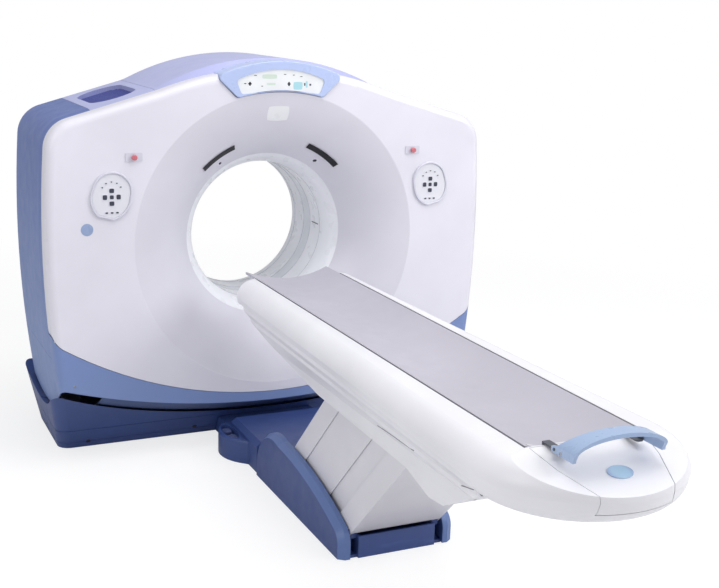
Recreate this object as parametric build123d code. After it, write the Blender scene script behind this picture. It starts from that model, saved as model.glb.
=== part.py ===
from build123d import *
import os
from math import cos, hypot, radians, sin, sqrt, tan

# A computed-tomography scanner: a tilting ring-shaped gantry with a short wide bore, and a patient
# table whose cradle slides through it. X is to the right seen from the table, Y runs from the table
# into the gantry and Z is up. The origin is on the floor, straight below the centre of the bore.
# All sizes are in millimetres.

os.makedirs("parts", exist_ok=True)

# Gantry envelope
ISO_H = 1015  # height of the bore's axis and of the tilt axis
HALF_W = 1108  # widest half width of the tilting covers
GANTRY_H = 1874  # top of the covers
FACE_Y = 500  # front and rear faces, from the tilt axis
SEAM_Y = 400  # where the white covers end and the blue ones start
BEVEL_Y = 350  # where the blue covers reach their full size
BACK_Y = 250  # where they start to narrow towards the rear
REAR_IN = 66  # how much smaller the rear face is on every side
SEAM = 2.5  # gap between neighbouring covers
WALL = 5  # thickness of the moulded covers
FACE_EDGE_R = 38  # rounding round the flat faces
TRIM = 0.05  # how far a cutting outline stands clear of the surface beside it

# Outline of the tilting covers, seen from the front
FOOT_IN = 66  # how much narrower the sides are at their lower end
FOOT_Z = 190
WIDE_Z = ISO_H - 15  # height of the widest place
SHOULDER_IN = 26
SHOULDER_Z = GANTRY_H - 292
SHOULDER_R = 150
DOME_X = 560  # half length of the raised middle of the roof
DOME_Z = GANTRY_H - 139
DOME_R = 260
ROOF_DROP = 38  # how far the white covers' crest lies below the crest of the blue roof
SIDE_DROP = 4  # how far the white covers lie inside the blue ones all round
SMILE_MID_Z = 262  # lower edge of the white cover at the middle
SMILE_R = 1929  # radius of that edge
SMILE_CORNER_R = 110

# How the blue covers are divided
LOWER_SEAM_Z = 500
VENT_IN = DOME_X + 15
VENT_OUT = HALF_W - 236

# Underside of the tilting covers, a barrel turned about the tilt axis
BARREL_MID = 942
BARREL_END = 800
BARREL_GAP = 12  # running clearance over the base

# Bore and its trumpet-shaped mouths
BORE_R = 350
THROAT_Y = 205
FLARE_R = BORE_R + 14
FLARE_Y = THROAT_Y + 45
MOUTH_R = BORE_R + 50
MOUTH_Y = FLARE_Y + 47
DISH_R = MOUTH_R + 78
DISH_Y = MOUTH_Y + 85
RING_R = 708  # outer crease of the dished ring
WINDOW_Y = 45  # half width of the scan window
LINER_WALL = 4
WINDOW_WALL = 2

# Display housing over the bore
POD_LOW = (212, GANTRY_H - 176)  # lower corner, as X and Z
POD_LOW_RISE = 28
POD_HIGH = (318, GANTRY_H - 77)  # upper corner
POD_HIGH_RISE = 70
POD_OUT = 12  # how far it stands proud of the face
POD_CORNER = 24
POD_WALL = 6
WINDOW_LOW = (196, GANTRY_H - 160)
WINDOW_LOW_RISE = 14
WINDOW_HIGH = (222, GANTRY_H - 95)
WINDOW_HIGH_RISE = 50

# Cover frame, vents, controls
HOOP_Y = 330
HOOP_BACK_Y = 240
HOOP_T = 26
HOOP_W = 20
VENT_X = (VENT_IN + VENT_OUT) / 2  # middle of the vent's oval well
VENT_Y = -68
VENT_L = 460
VENT_W = 216
VENT_BARS = 15
VENT_DEPTH = 34
CONTROL_X = HALF_W - 300
CONTROL_Z = ISO_H + 253
PANEL_LEAN = 14  # degrees towards the bore
PANEL_W = 184
PANEL_H = 216
PANEL_OUT = 12
STOP_X = HALF_W - 405
STOP_Z = ISO_H + 422
STOP_W = 78
STOP_H = 40
STOP_T = 4
STOP_TRAVEL = 4
STOP_CAP_R = 13
STOP_STEM_R = 6
STOP_STEM_L = 20
LIGHT_R = DISH_R + 1
LIGHT_W = 24
LIGHT_T = 3.6
LIGHT_DEG = 34
LIGHT_ARC = 22

# Rotating frame inside the gantry
ROTOR_IN = BORE_R + 22
ROTOR_OUT = 535  # outside of the bearing's neck
ROTOR_RIM = 700
ROTOR_BACK = 60
ROTOR_FRONT = 150
ROTOR_T = 46
RACE_MID = ROTOR_OUT + 31  # radius between the two races
RACE_GAP = 0.4
RACE_W = 60
TUBE_Z = 560
DETECTOR_R = 560
DETECTOR_ARC = 56
DETECTOR_CELLS = 16
POWER_TANKS = ((78, 250, 150), (-78, 250, 150), (128, 170, 120))  # angle, width and depth

# Frame that tilts
FRAME_IN = RACE_MID + 34
FRAME_OUT = ROTOR_RIM + 86
FRAME_Y = 112
FRAME_T = 70
ARM_HALF_Y = 130
ARM_HALF_Z = 170

# Gantry base
BASE_FLOOR_X = HALF_W - 76
BASE_FLOOR_Y = 268
BASE_TOP_X = HALF_W - 10
BASE_TOP_Y = 458
BASE_BACK_Y = 405
BASE_TOP_Z = 332
BASE_CORNER_R = 60
BASE_WALL = 8
BASE_LIFT = 2  # the covers stop this far above the floor
PLATE_T = 42
PLATE_HALF_X = BASE_FLOOR_X - 7
PLATE_HALF_Y = BASE_FLOOR_Y - 5
POST_T = 80
POST_IN = HALF_W - FOOT_IN - REAR_IN - WALL - POST_T - 3  # the posts stand inside the covers' swing
POST_FOOT = 215
POST_FOOT_Z = 158  # where the foot has narrowed to the waist
POST_WAIST = 80
POST_HEAD = 170
TRUNNION_R = 45
BEARING_R = 90
BEARING_T = 60
DRIVE_R = 110
DRIVE_T = 60
ARM_OUT = POST_IN - DRIVE_T - 2  # the tilt frame's arms end beside the tilt drive
SHAFT_END = POST_IN + POST_T - 6
BELLY_HALF = POST_IN - 18  # the closing pan ends inside the posts
FIT = 0.05  # radial clearance of a running shaft
ANCHOR_X = POST_IN - 68
ANCHOR_Y = PLATE_HALF_Y - 63
ANCHOR_R = 9

# Foot controls
SEAT = 0.3  # gap between pieces that are fixed to each other
NECK_X = 245
NECK_START_Y = -PLATE_HALF_Y - SEAT
NECK_END_Y = -1088
NECK_Z = 150
NECK_STEP_Z = 96
NECK_STEP_Y = -520
POD_Y0 = -470
POD_Y1 = -770
POD_X0 = NECK_X + SEAT
POD_X1 = 330
POD_MID_Y = -600
POD_H = 112
PEDAL_Z = 96
PEDAL_Y = 44  # from the pod's middle to a pedal's
PEDAL_PIN = 26  # half length of its pin
PEDAL_AXIS = 22

# Table base
BASE_FOOT_Y = -1855
TRAY_X = 170
PONTOON_IN = 206
TRAY_WING_X = PONTOON_IN - SEAT
TRAY_Z = 92
EAR_IN = 9
EAR_T = 12
SLAT_PIN_R = 5
TABLE_BOLT_X = 150
TABLE_BOLT_Y0 = -1760
TABLE_BOLT_Y1 = -1150
PONTOON_Y0 = -885
PONTOON_Y1 = -1858
PONTOON_OUT = 254
PONTOON_EDGE = 26

# Lift linkage
LEAN = 45  # degrees from level, at the height shown
LEG_L = 640
PIVOT_Z = 112
LEG_HEAD_Y = -1300
LEG_FOOT_Y = -1560
LEG_X = 128
LEG_T = 16
LEG_W = 80
PIN_R = 12
SLAT_T = 4
SLAT_X = 200  # outer face of the outermost slats
SLAT_PIVOTS = (-1125, -1250, -1650, -1825)
SLAT_EDGES = ((-1100, -1240), (-1198, -1550), (-1455, -1735), (-1700, -1850))
SLAT_PLACES = (SLAT_X, SLAT_X - 6, SLAT_X - 12, SLAT_X)
SLAT_LOW_Z = 32
SLAT_TIP_GAP = 31  # how far an inner slat's tip stays from the lug of the slat before it
SLAT_NOSE_Z = 78
PANEL_LOW_Z = 104
LOWER_DEG = 20  # travel of the lift below and above the height shown
RAISE_DEG = 11
TUBE_R = 22
LEG_PLAY = 0.5  # clearance at the opened joint of the foot leg

# Table top
TABLE_TOP = 898
CRADLE_HALF = 205
CRADLE_HEAD = -600
END_Y = -2976  # centre of the round foot end
CRADLE_FOOT = END_Y - 58
CRADLE_SAG = 38  # depth of its hollow
CRADLE_EDGE_T = 12
CRADLE_MID_T = 24
SIDE_IN = CRADLE_HALF + 9  # inner edge of the side covers
NOSE_Y = CRADLE_HEAD - 148
NOSE_HALF = SIDE_IN + 84
END_HALF = SIDE_IN + 140
DECK_Z = TABLE_TOP - 92
DECK_T = 5
RAIL_X = 150
RAIL_HEAD = NOSE_Y - 182
RAIL_FOOT = END_Y + 116
CHASSIS_Z = DECK_Z - 106
KEEL_HALF = 232
KEEL_LOW = TABLE_TOP - 398
END_LOW = TABLE_TOP - 165
NOSE_JOINT = NOSE_Y - 157
SLOPE_Y = CRADLE_FOOT - 12
SLOPE_Z1 = TABLE_TOP - 86
OPEN_X = SIDE_IN - 6
OPEN_HEAD = -1500
OPEN_FOOT = -2400
PANEL_X0 = SIDE_IN - 14
PANEL_Y0 = SLOPE_Y - 6
PANEL_X1 = SIDE_IN - 36
PANEL_Y1 = PANEL_Y0 - 113
PANEL_X2 = SIDE_IN - 104
PANEL_LOW = END_LOW + 43
STRIP_X = 120
STRIP_Z = TABLE_TOP - 68
HEAD_SCOOP = 26
HEAD_SCOOP_R = 900
HANDLE_X = CRADLE_HALF - 44  # half width of the handle's bow
HANDLE_Y = CRADLE_FOOT - 84  # pins the handle swings on
HANDLE_Z = TABLE_TOP + 14
HANDLE_LOW = TABLE_TOP + 3.5
HANDLE_RISE = 72
HANDLE_T = 12
HANDLE_LEG = 22  # height of its straight ends
HANDLE_END = HANDLE_Y - 92
HANDLE_PIN_R = 5
BRACKET_X1 = HANDLE_X - HANDLE_T - 2
BRACKET_X0 = BRACKET_X1 - 26
MEDAL_Y = CRADLE_FOOT - 184
MEDAL_T = 3
DRIVE_Y = -1200
DRIVE_WHEEL_R = 30
DRIVE_Z = TABLE_TOP - CRADLE_SAG - CRADLE_MID_T - DRIVE_WHEEL_R - SEAT
PANEL_FAR = 424 - END_Y
SLAT_TOP_Z = TABLE_TOP - 298

def save(shape, name):
    """Write one sub-part."""
    solids = shape.solids()
    body = solids[0] if len(solids) == 1 else Compound(children=list(solids))
    export_step(body, f"parts/{name}.step")

def front_plane(y):
    """A plane facing the table: its own x is X and its own y is Z."""
    return Plane(origin=(0, y, 0), x_dir=(1, 0, 0), z_dir=(0, -1, 0))

def side_plane(x):
    """A plane facing +X: its own x is Y and its own y is Z."""
    return Plane(origin=(x, 0, 0), x_dir=(0, 1, 0), z_dir=(1, 0, 0))

def slab(face, y0, y1):
    """Extrude an outline drawn in X and Z from y0 to y1."""
    return extrude(front_plane(y1) * face, y1 - y0)

def side_slab(face, x0, x1):
    """Extrude an outline drawn in Y and Z from x0 to x1."""
    return extrude(side_plane(x0) * face, x1 - x0)

def box(x0, x1, y0, y1, z0, z1):
    """A box from its six limits."""
    return Pos((x0 + x1) / 2, (y0 + y1) / 2, (z0 + z1) / 2) * Box(x1 - x0, y1 - y0, z1 - z0)

def polygon(points):
    """A face from its corners."""
    return make_face(Polyline(*points, close=True))

def rod(start, direction, r, length):
    """A round bar from a point along a direction."""
    return extrude(Plane(origin=start, z_dir=direction) * Circle(r), length)

def other_side(shape):
    """The mirror image across the middle plane."""
    return shape.mirror(Plane.YZ)

def turn_bore(face):
    """Revolve an outline drawn as radius and Y about the bore's axis."""
    plane = Plane(origin=(0, 0, ISO_H), x_dir=(1, 0, 0), z_dir=(0, 0, 1))
    return revolve(plane * face, Axis((0, 0, ISO_H), (0, 1, 0)), 360)

def ring(r0, r1, y0, y1):
    """A plain ring round the bore's axis."""
    return turn_bore(polygon([(r0, y0), (r1, y0), (r1, y1), (r0, y1)]))

def round_hole(r, y0, y1):
    """A cylinder about the bore's axis, for cutting."""
    return slab(Pos(0, ISO_H) * Circle(r), y0, y1)

def circle_through(a, b, c):
    """Centre and radius of the circle through three points."""
    d = 2 * (a[0] * (b[1] - c[1]) + b[0] * (c[1] - a[1]) + c[0] * (a[1] - b[1]))
    sa, sb, sc = (p[0] ** 2 + p[1] ** 2 for p in (a, b, c))
    x = (sa * (b[1] - c[1]) + sb * (c[1] - a[1]) + sc * (a[1] - b[1])) / d
    y = (sa * (c[0] - b[0]) + sb * (a[0] - c[0]) + sc * (b[0] - a[0])) / d
    return (x, y), hypot(a[0] - x, a[1] - y)

def arc_band(a, b, c, wall):
    """A strip of even thickness along the arc through three points, on the centre's side."""
    (x, y), r = circle_through(a, b, c)
    k = (r - wall) / r
    p, q, s = [(x + (m[0] - x) * k, y + (m[1] - y) * k) for m in (a, b, c)]
    return make_face([ThreePointArc(a, b, c), Line(c, s), ThreePointArc(s, q, p), Line(p, a)])

def body_outline(drop, inset):
    """Outline of the tilting covers with the roof's crest lowered, and made smaller all round."""
    wide = HALF_W - inset
    low = (wide - FOOT_IN, FOOT_Z)
    shoulder = (wide - SHOULDER_IN, SHOULDER_Z - inset)
    dome = (DOME_X, DOME_Z - inset)

    def left(p):
        return (-p[0], p[1])

    face = make_face([
        Line(left(low), low),
        ThreePointArc(low, (wide, WIDE_Z), shoulder),
        Line(shoulder, dome),
        ThreePointArc(dome, (0, GANTRY_H - drop - inset), left(dome)),
        Line(left(dome), left(shoulder)),
        ThreePointArc(left(shoulder), (-wide, WIDE_Z), left(low)),
    ])
    corners = [v for v in face.vertices() if abs(v.Y - shoulder[1]) < 1]
    face = fillet(corners, SHOULDER_R - inset)
    corners = [v for v in face.vertices() if abs(abs(v.X) - DOME_X) < 1]
    return fillet(corners, DOME_R)

def barrel(extra):
    """The solid swept by the covers' underside, made larger by a clearance."""
    end = HALF_W + 60
    mid_r = BARREL_MID + extra
    end_r = mid_r - (BARREL_MID - BARREL_END) * (end / HALF_W) ** 2
    face = make_face([
        Line((-end, ISO_H), (end, ISO_H)),
        Line((end, ISO_H), (end, ISO_H - end_r)),
        ThreePointArc((end, ISO_H - end_r), (0, ISO_H - mid_r), (-end, ISO_H - end_r)),
        Line((-end, ISO_H - end_r), (-end, ISO_H)),
    ])
    return revolve(front_plane(0) * face, Axis((0, 0, ISO_H), (1, 0, 0)), 360)

def white_outline(gap, shrink):
    """Outline of a white cover, made smaller by a gap and by the rear cover's shrinkage."""
    smile = Pos(0, SMILE_MID_Z + SMILE_R) * Circle(SMILE_R - gap)
    face = body_outline(ROOF_DROP, SIDE_DROP + shrink + gap) & smile
    corners = [v for v in face.vertices() if v.Y < ISO_H and abs(v.X) > HALF_W / 2]
    return fillet(corners, SMILE_CORNER_R - gap)

def arched_band(low, low_rise, high, high_rise, corner):
    """An arched band with slanted ends, from its lower and upper corners."""
    face = make_face([
        ThreePointArc((-low[0], low[1]), (0, low[1] + low_rise), low),
        Line(low, high),
        ThreePointArc(high, (0, high[1] + high_rise), (-high[0], high[1])),
        Line((-high[0], high[1]), (-low[0], low[1])),
    ])
    return fillet(face.vertices(), corner)

def pod_outline(grow):
    """Outline of the display housing, made larger by the value."""
    low = (POD_LOW[0] + grow * 1.3, POD_LOW[1] - grow)
    high = (POD_HIGH[0] + grow * 1.3, POD_HIGH[1] + grow)
    return arched_band(low, POD_LOW_RISE, high, POD_HIGH_RISE, POD_CORNER + grow / 2)

def cover_block(inset):
    """The blue covers' block: full size in the middle and smaller towards both white covers."""
    full = body_outline(0, inset)
    block = slab(full, -BEVEL_Y, BACK_Y)
    for end, start, shrink in ((-SEAM_Y, -BEVEL_Y, 0), (SEAM_Y, BACK_Y, REAR_IN)):
        near = front_plane(end) * body_outline(ROOF_DROP, SIDE_DROP + shrink + inset)
        far = front_plane(start) * full
        block += loft([near.faces()[0], far.faces()[0]], ruled=True)
    return block

def face_block(inset, shrink):
    """The front layer of the covers as a solid with a rounded front edge."""
    face = body_outline(ROOF_DROP, SIDE_DROP + shrink + inset)
    block = slab(face, -FACE_Y + inset, -SEAM_Y + inset / WALL)
    edges = [
        e for e in block.edges()
        if abs(e.center().Y + FACE_Y - inset) < 0.1 and e.center().Z > FOOT_Z + 1
    ]
    return fillet(edges, FACE_EDGE_R - inset)

def dish():
    """The dished ring between the flat face and the bore's mouth."""
    points = ((RING_R, -FACE_Y), (DISH_R, -DISH_Y), (MOUTH_R, -MOUTH_Y))
    return turn_bore(arc_band(*points, WALL))

def face_cover(tray, shrink):
    """A white face cover with its dished ring, drawn at the front."""
    depth = (-FACE_Y - 1, -SEAM_Y + 2)
    cover = tray & slab(white_outline(-TRIM, shrink), *depth)
    return cover - round_hole(RING_R, *depth) + dish()

def lower_cover(tray, blue, shrink):
    """The blue cover round the front of the lower half, up to the white cover's corners."""
    far = HALF_W + 9
    corner_x = HALF_W - shrink - SHOULDER_IN
    corner_z = SMILE_MID_Z + SMILE_R - sqrt(SMILE_R ** 2 - corner_x ** 2)
    band_top = corner_z + SMILE_CORNER_R / 4
    band = tray - slab(white_outline(-SEAM, shrink), -FACE_Y - 1, -SEAM_Y + 2)
    band = band & box(-far, far, -FACE_Y - 9, 0, 0, band_top) & barrel(0)
    return band + (blue & box(-far, far, -FACE_Y - 9, -SEAM / 2, 0, LOWER_SEAM_Z))

def belly_cover():
    """The pan that closes the covers below, part of a barrel about the tilt axis."""
    reach = FACE_Y - WALL - SEAT
    region = box(-BELLY_HALF, BELLY_HALF, -reach, reach, 0, ISO_H - BARREL_END / 2)
    return (barrel(0) - barrel(-WALL)) & region

def display_housing():
    """The arched housing over the bore, open at its back and seated on the blue bevel."""
    front = -FACE_Y - POD_OUT
    shell = slab(pod_outline(0), front, -BEVEL_Y)
    edges = [e for e in shell.edges() if abs(e.center().Y - front) < 0.1]
    shell = fillet(edges, POD_WALL - 1)
    shell -= slab(pod_outline(-POD_WALL), front + POD_WALL, -BEVEL_Y + 1)
    window = arched_band(WINDOW_LOW, WINDOW_LOW_RISE, WINDOW_HIGH, WINDOW_HIGH_RISE, POD_CORNER - 6)
    shell -= slab(window, front - 1, front + 2 * POD_WALL)
    return shell - cover_block(-SEAT)

def display_window():
    """The white window behind the housing's opening."""
    front = -FACE_Y - POD_OUT
    pane = slab(pod_outline(-POD_WALL - 1), front + POD_WALL + 0.3, front + POD_WALL + 4.3)
    return pane

def bore_liner():
    """The front half of the bore's white wall, from the dish to the scan window."""
    lip = MOUTH_R - SEAT
    flare = arc_band(
        (lip, -MOUTH_Y), (FLARE_R, -FLARE_Y), (BORE_R, -THROAT_Y), LINER_WALL
    )
    return turn_bore(flare) + ring(BORE_R, BORE_R + LINER_WALL, -THROAT_Y - 1, -WINDOW_Y - SEAT)

def scan_window():
    """The thin clear ring that the rays pass through."""
    return ring(BORE_R, BORE_R + WINDOW_WALL, -WINDOW_Y, WINDOW_Y)

def tilt_frame():
    """The ring plate that carries the bearing, with its side arms and trunnion shafts."""
    plate = ring(FRAME_IN, FRAME_OUT, FRAME_Y, FRAME_Y + FRAME_T)
    for side in (-1, 1):
        arm = box(FRAME_OUT - 60, ARM_OUT, -ARM_HALF_Y, FRAME_Y + FRAME_T, -ARM_HALF_Z, ARM_HALF_Z)
        shaft = rod((ARM_OUT - 1, 0, 0), (1, 0, 0), TRUNNION_R, SHAFT_END - ARM_OUT + 1)
        part = Pos(0, 0, ISO_H) * (arm + shaft)
        plate += part if side > 0 else other_side(part)
    for angle in range(0, 360, 30):
        spot = Rot(0, angle, 0) * Pos((FRAME_IN + 34), 0, 0)
        hole = Pos(0, FRAME_Y + FRAME_T, ISO_H) * spot * Rot(90, 0, 0) * Cylinder(8, 60)
        plate -= hole
    return plate

def outer_race():
    """The fixed ring of the main bearing, seated in the frame's bore."""
    y0 = FRAME_Y + 5
    return ring(RACE_MID + RACE_GAP / 2, FRAME_IN, y0, y0 + RACE_W)

def inner_race():
    """The turning ring of the main bearing, bolted to the rotor's back."""
    y0 = FRAME_Y + 5
    flange = ring(ROTOR_OUT - 45, RACE_MID - RACE_GAP / 2, y0 - 5 - RACE_GAP, y0 + RACE_W)
    neck = ring(ROTOR_OUT - 45, ROTOR_OUT, ROTOR_BACK, y0)
    return flange + neck

def rotor_drum():
    """The turning plate: a drum with a rim, pads for its loads and lightening holes."""
    plate = ring(ROTOR_IN, ROTOR_RIM, ROTOR_BACK - ROTOR_T, ROTOR_BACK)
    plate += ring(ROTOR_IN, ROTOR_IN + 14, -ROTOR_FRONT, ROTOR_BACK)
    for angle in (45, 135, 225, 315):
        spot = Rot(0, angle, 0) * Pos((ROTOR_IN + ROTOR_RIM) / 2, 0, 0)
        plate -= Pos(0, ROTOR_BACK, ISO_H) * spot * Rot(90, 0, 0) * Cylinder(62, 4 * ROTOR_T)
    return plate

def on_rotor(shape, angle):
    """Turn a load, drawn above the bore's axis, to its place on the drum."""
    return Pos(0, 0, ISO_H) * Rot(0, angle, 0) * shape

def xray_tube():
    """The tube's housing, a short drum with end bells and a mounting foot."""
    face = ROTOR_BACK - ROTOR_T
    r = 85
    axis_z = TUBE_Z
    body = Pos(0, face - r - 22, axis_z) * Rot(0, 90, 0) * Cylinder(r, 290)
    body = fillet(body.edges(), 20)
    foot = box(-95, 95, face - 60, face, axis_z - 62, axis_z + 62)
    return body + foot

def collimator():
    """The beam's shutter box under the tube, with its fan-shaped outlet."""
    face = ROTOR_BACK - ROTOR_T
    y0 = face - 2 * 85 - 30
    top = TUBE_Z - 85 - 4
    box_part = box(-110, 110, y0, face, top - 62, top)
    return box_part - box(-90, 90, y0 + 40, face - 30, top - 70, top + 5)

def detector():
    """The detector: an arc of modules on a curved beam, opposite the tube."""
    face = ROTOR_BACK - ROTOR_T
    band = ring(DETECTOR_R, DETECTOR_R + 58, face - 150, face)
    half = radians(DETECTOR_ARC / 2)
    far = 2 * DETECTOR_R
    wedge = polygon([
        (0, ISO_H), (far * sin(half), ISO_H - far * cos(half)),
        (-far * sin(half), ISO_H - far * cos(half)),
    ])
    arc = band & slab(wedge, face - 151, face + 1)
    for k in range(-DETECTOR_CELLS // 2, DETECTOR_CELLS // 2 + 1):
        angle = k * DETECTOR_ARC / (DETECTOR_CELLS + 1)
        slot = box(-2, 2, face - 140, face - 18, -DETECTOR_R - 12, -DETECTOR_R + 9)
        arc -= Pos(0, 0, ISO_H) * Rot(0, -angle, 0) * slot
    return arc

def power_tank(angle, wide, deep):
    """A high-voltage tank with cooling ribs on its outer side."""
    face = ROTOR_BACK - ROTOR_T
    z0 = ROTOR_IN + 36
    tank = box(-wide / 2, wide / 2, face - deep, face, z0, ROTOR_RIM - 24)
    tank = fillet(tank.edges().filter_by(Axis.Y), 12)
    for k in range(7):
        x = (k - 3) * wide / 8
        tank += box(x - 3, x + 3, face - deep + 15, face - 15, ROTOR_RIM - 25, ROTOR_RIM - 8)
    return on_rotor(tank, angle)

def slip_ring():
    """The insulating drum behind the plate, with its contact grooves."""
    y0 = ROTOR_BACK
    outer = ROTOR_IN + 60
    drum = ring(ROTOR_IN, outer, y0, y0 + 130)
    for k in range(5):
        groove = y0 + 20 + k * 22
        drum -= ring(outer - 5, outer + 5, groove, groove + 10)
    return drum

def brush_block():
    """The block of contact brushes, held by the frame over the slip ring."""
    y0 = ROTOR_BACK + 10
    r = ROTOR_IN + 60
    block = box(-60, 60, y0 + 62, y0 + 120, r + 6, r + 48)
    for k in range(3):
        x = (k - 1) * 40
        block += box(x - 6, x + 6, y0 + 80, y0 + 90, r + 1, r + 8)
    bracket = box(-40, 40, FRAME_Y + RACE_W + 8, FRAME_Y + FRAME_T + 12, r + 30, FRAME_IN + 60)
    bracket -= box(-41, 41, FRAME_Y - 1, FRAME_Y + FRAME_T, FRAME_IN - 2, FRAME_IN + 61)
    block += box(-40, 40, y0 + 110, FRAME_Y + FRAME_T + 12, r + 30, r + 48)
    return on_rotor(block + bracket, 180)

def base_frame():
    """The steel floor plate with its two posts, which carry the tilt bearings."""
    plate = box(-PLATE_HALF_X, PLATE_HALF_X, -PLATE_HALF_Y, PLATE_HALF_Y, 0, PLATE_T)
    plate = fillet(plate.edges().filter_by(Axis.Z), BASE_CORNER_R)
    for x in (-ANCHOR_X, ANCHOR_X):
        for y in (-ANCHOR_Y, ANCHOR_Y):
            plate -= Pos(x, y, PLATE_T / 2) * Cylinder(ANCHOR_R, PLATE_T + 2)
    profile = make_face([
        Polyline(
            (-POST_FOOT, PLATE_T - 1), (-POST_FOOT, 100), (-POST_WAIST, POST_FOOT_Z), (-POST_WAIST, 300),
            (-POST_HEAD, 640), (-POST_HEAD, ISO_H),
        ),
        ThreePointArc((-POST_HEAD, ISO_H), (0, ISO_H + POST_HEAD), (POST_HEAD, ISO_H)),
        Polyline(
            (POST_HEAD, ISO_H), (POST_HEAD, 640), (POST_WAIST, 300), (POST_WAIST, POST_FOOT_Z),
            (POST_FOOT, 100), (POST_FOOT, PLATE_T - 1), (-POST_FOOT, PLATE_T - 1),
        ),
    ])
    post = side_slab(profile, POST_IN, POST_IN + POST_T)
    window = side_slab(fillet(polygon([
        (-POST_HEAD + 45, 640), (-POST_WAIST + 45, 390), (POST_WAIST - 45, 390), (POST_HEAD - 45, 640),
        (POST_HEAD - 45, ISO_H - BEARING_R - 50), (-POST_HEAD + 45, ISO_H - BEARING_R - 50),
    ]).vertices(), 18), POST_IN - 1, POST_IN + POST_T - 14)
    post -= window
    post -= rod((POST_IN + POST_T - BEARING_T, 0, ISO_H), (1, 0, 0), BEARING_R, BEARING_T + 1)
    post -= rod((POST_IN - 1, 0, ISO_H), (1, 0, 0), TRUNNION_R + 12, POST_T)
    return plate + post + other_side(post)

def tilt_bearing():
    """A trunnion bearing's outer ring, pressed into the right post."""
    start = (POST_IN + POST_T - BEARING_T, 0, ISO_H)
    body = rod(start, (1, 0, 0), BEARING_R, BEARING_T)
    body -= rod((start[0] - 1, 0, ISO_H), (1, 0, 0), TRUNNION_R + FIT, BEARING_T + 2)
    groove = rod((start[0] + BEARING_T - 4, 0, ISO_H), (1, 0, 0), BEARING_R - 14, 5)
    groove -= rod((start[0] + BEARING_T - 5, 0, ISO_H), (1, 0, 0), TRUNNION_R + 14, 7)
    return body - groove

def tilt_drive():
    """The worm gearbox round the right trunnion, with its motor, bolted to the post."""
    x0 = POST_IN - DRIVE_T
    case = rod((x0, 0, ISO_H), (1, 0, 0), DRIVE_R, DRIVE_T)
    neck = box(x0, POST_IN, -DRIVE_R, DRIVE_R - 40, ISO_H - DRIVE_R - 40, ISO_H)
    motor = rod((x0 + DRIVE_T / 2, -POST_HEAD + 60, ISO_H - DRIVE_R - 250), (0, 0, 1), 30, 235)
    body = case + neck + motor
    return body - rod((x0 - 1, 0, ISO_H), (1, 0, 0), TRUNNION_R + 1, DRIVE_T + 2)

def base_block(inset):
    """The base covers as a solid: a boat shape that widens upward."""
    def layer(z, x, front, back):
        face = Pos(0, (back - front) / 2) * Rectangle(2 * (x - inset), front + back - 2 * inset)
        face = fillet(face.vertices(), BASE_CORNER_R - inset)
        return (Plane.XY.offset(z) * face).faces()[0]

    low = layer(BASE_LIFT - inset, BASE_FLOOR_X, BASE_FLOOR_Y, BASE_FLOOR_Y)
    high = layer(BASE_TOP_Z, BASE_TOP_X, BASE_TOP_Y, BASE_BACK_Y)
    return loft([low, high], ruled=True)

def base_covers():
    """The base covers, front and rear, with a seam along the tilt axis."""
    shell = base_block(0) - base_block(BASE_WALL)
    roof = (base_block(1) - barrel(BARREL_GAP)) & barrel(BARREL_GAP + BASE_WALL)
    shell = (shell - barrel(BARREL_GAP)) + roof
    for side in (-1, 1):
        x = side * (POST_IN + POST_T / 2)
        shell -= box(x - POST_T / 2 - 6, x + POST_T / 2 + 6, -POST_FOOT - 8, POST_FOOT + 8, 60, 400)
    shell -= box(-NECK_X - SEAM, NECK_X + SEAM, -BASE_TOP_Y - 9, -BASE_FLOOR_Y + 40, -1, NECK_STEP_Z)
    line = base_block(-1) - base_block(3)
    for z in (34, 108):
        shell -= line & box(-1200, 1200, -600, 600, z, z + 3)
    far = HALF_W + 100
    front = shell & box(-far, far, -far, -SEAM / 2, -1, BASE_TOP_Z + 1)
    rear = shell & box(-far, far, SEAM / 2, far, -1, BASE_TOP_Z + 1)
    return front, rear

def neck_part(half, inset):
    """The neck cover as a solid, cut narrower beside the stabilisers."""
    low = -1 if inset else BASE_LIFT
    profile = polygon([
        (NECK_END_Y + inset, low), (NECK_START_Y - inset, low),
        (NECK_START_Y - inset, NECK_STEP_Z - SEAM - inset),
        (NECK_STEP_Y + 24, NECK_STEP_Z - SEAM - inset), (NECK_STEP_Y, NECK_Z - inset),
        (NECK_END_Y + inset, NECK_Z - inset),
    ])
    body = side_slab(profile, -half + inset, half - inset)
    top = [e for e in body.edges().filter_by(Axis.Y) if e.center().Z > NECK_Z - inset - 1]
    return chamfer(top, 22 - inset / 4)

def neck_cover():
    """The stepped cover over the cables, from the gantry's base to the table's."""
    step = PONTOON_Y0 + SEAM
    half = PONTOON_IN - SEAM
    wide = box(-NECK_X, NECK_X, step, 0, -9, NECK_Z + 9)
    body = neck_part(half, 0) + (neck_part(NECK_X, 0) & wide)
    wide = box(-NECK_X, NECK_X, step + BASE_WALL, 0, -9, NECK_Z + 9)
    return body - (neck_part(half, BASE_WALL) + (neck_part(NECK_X, BASE_WALL) & wide))

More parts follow.
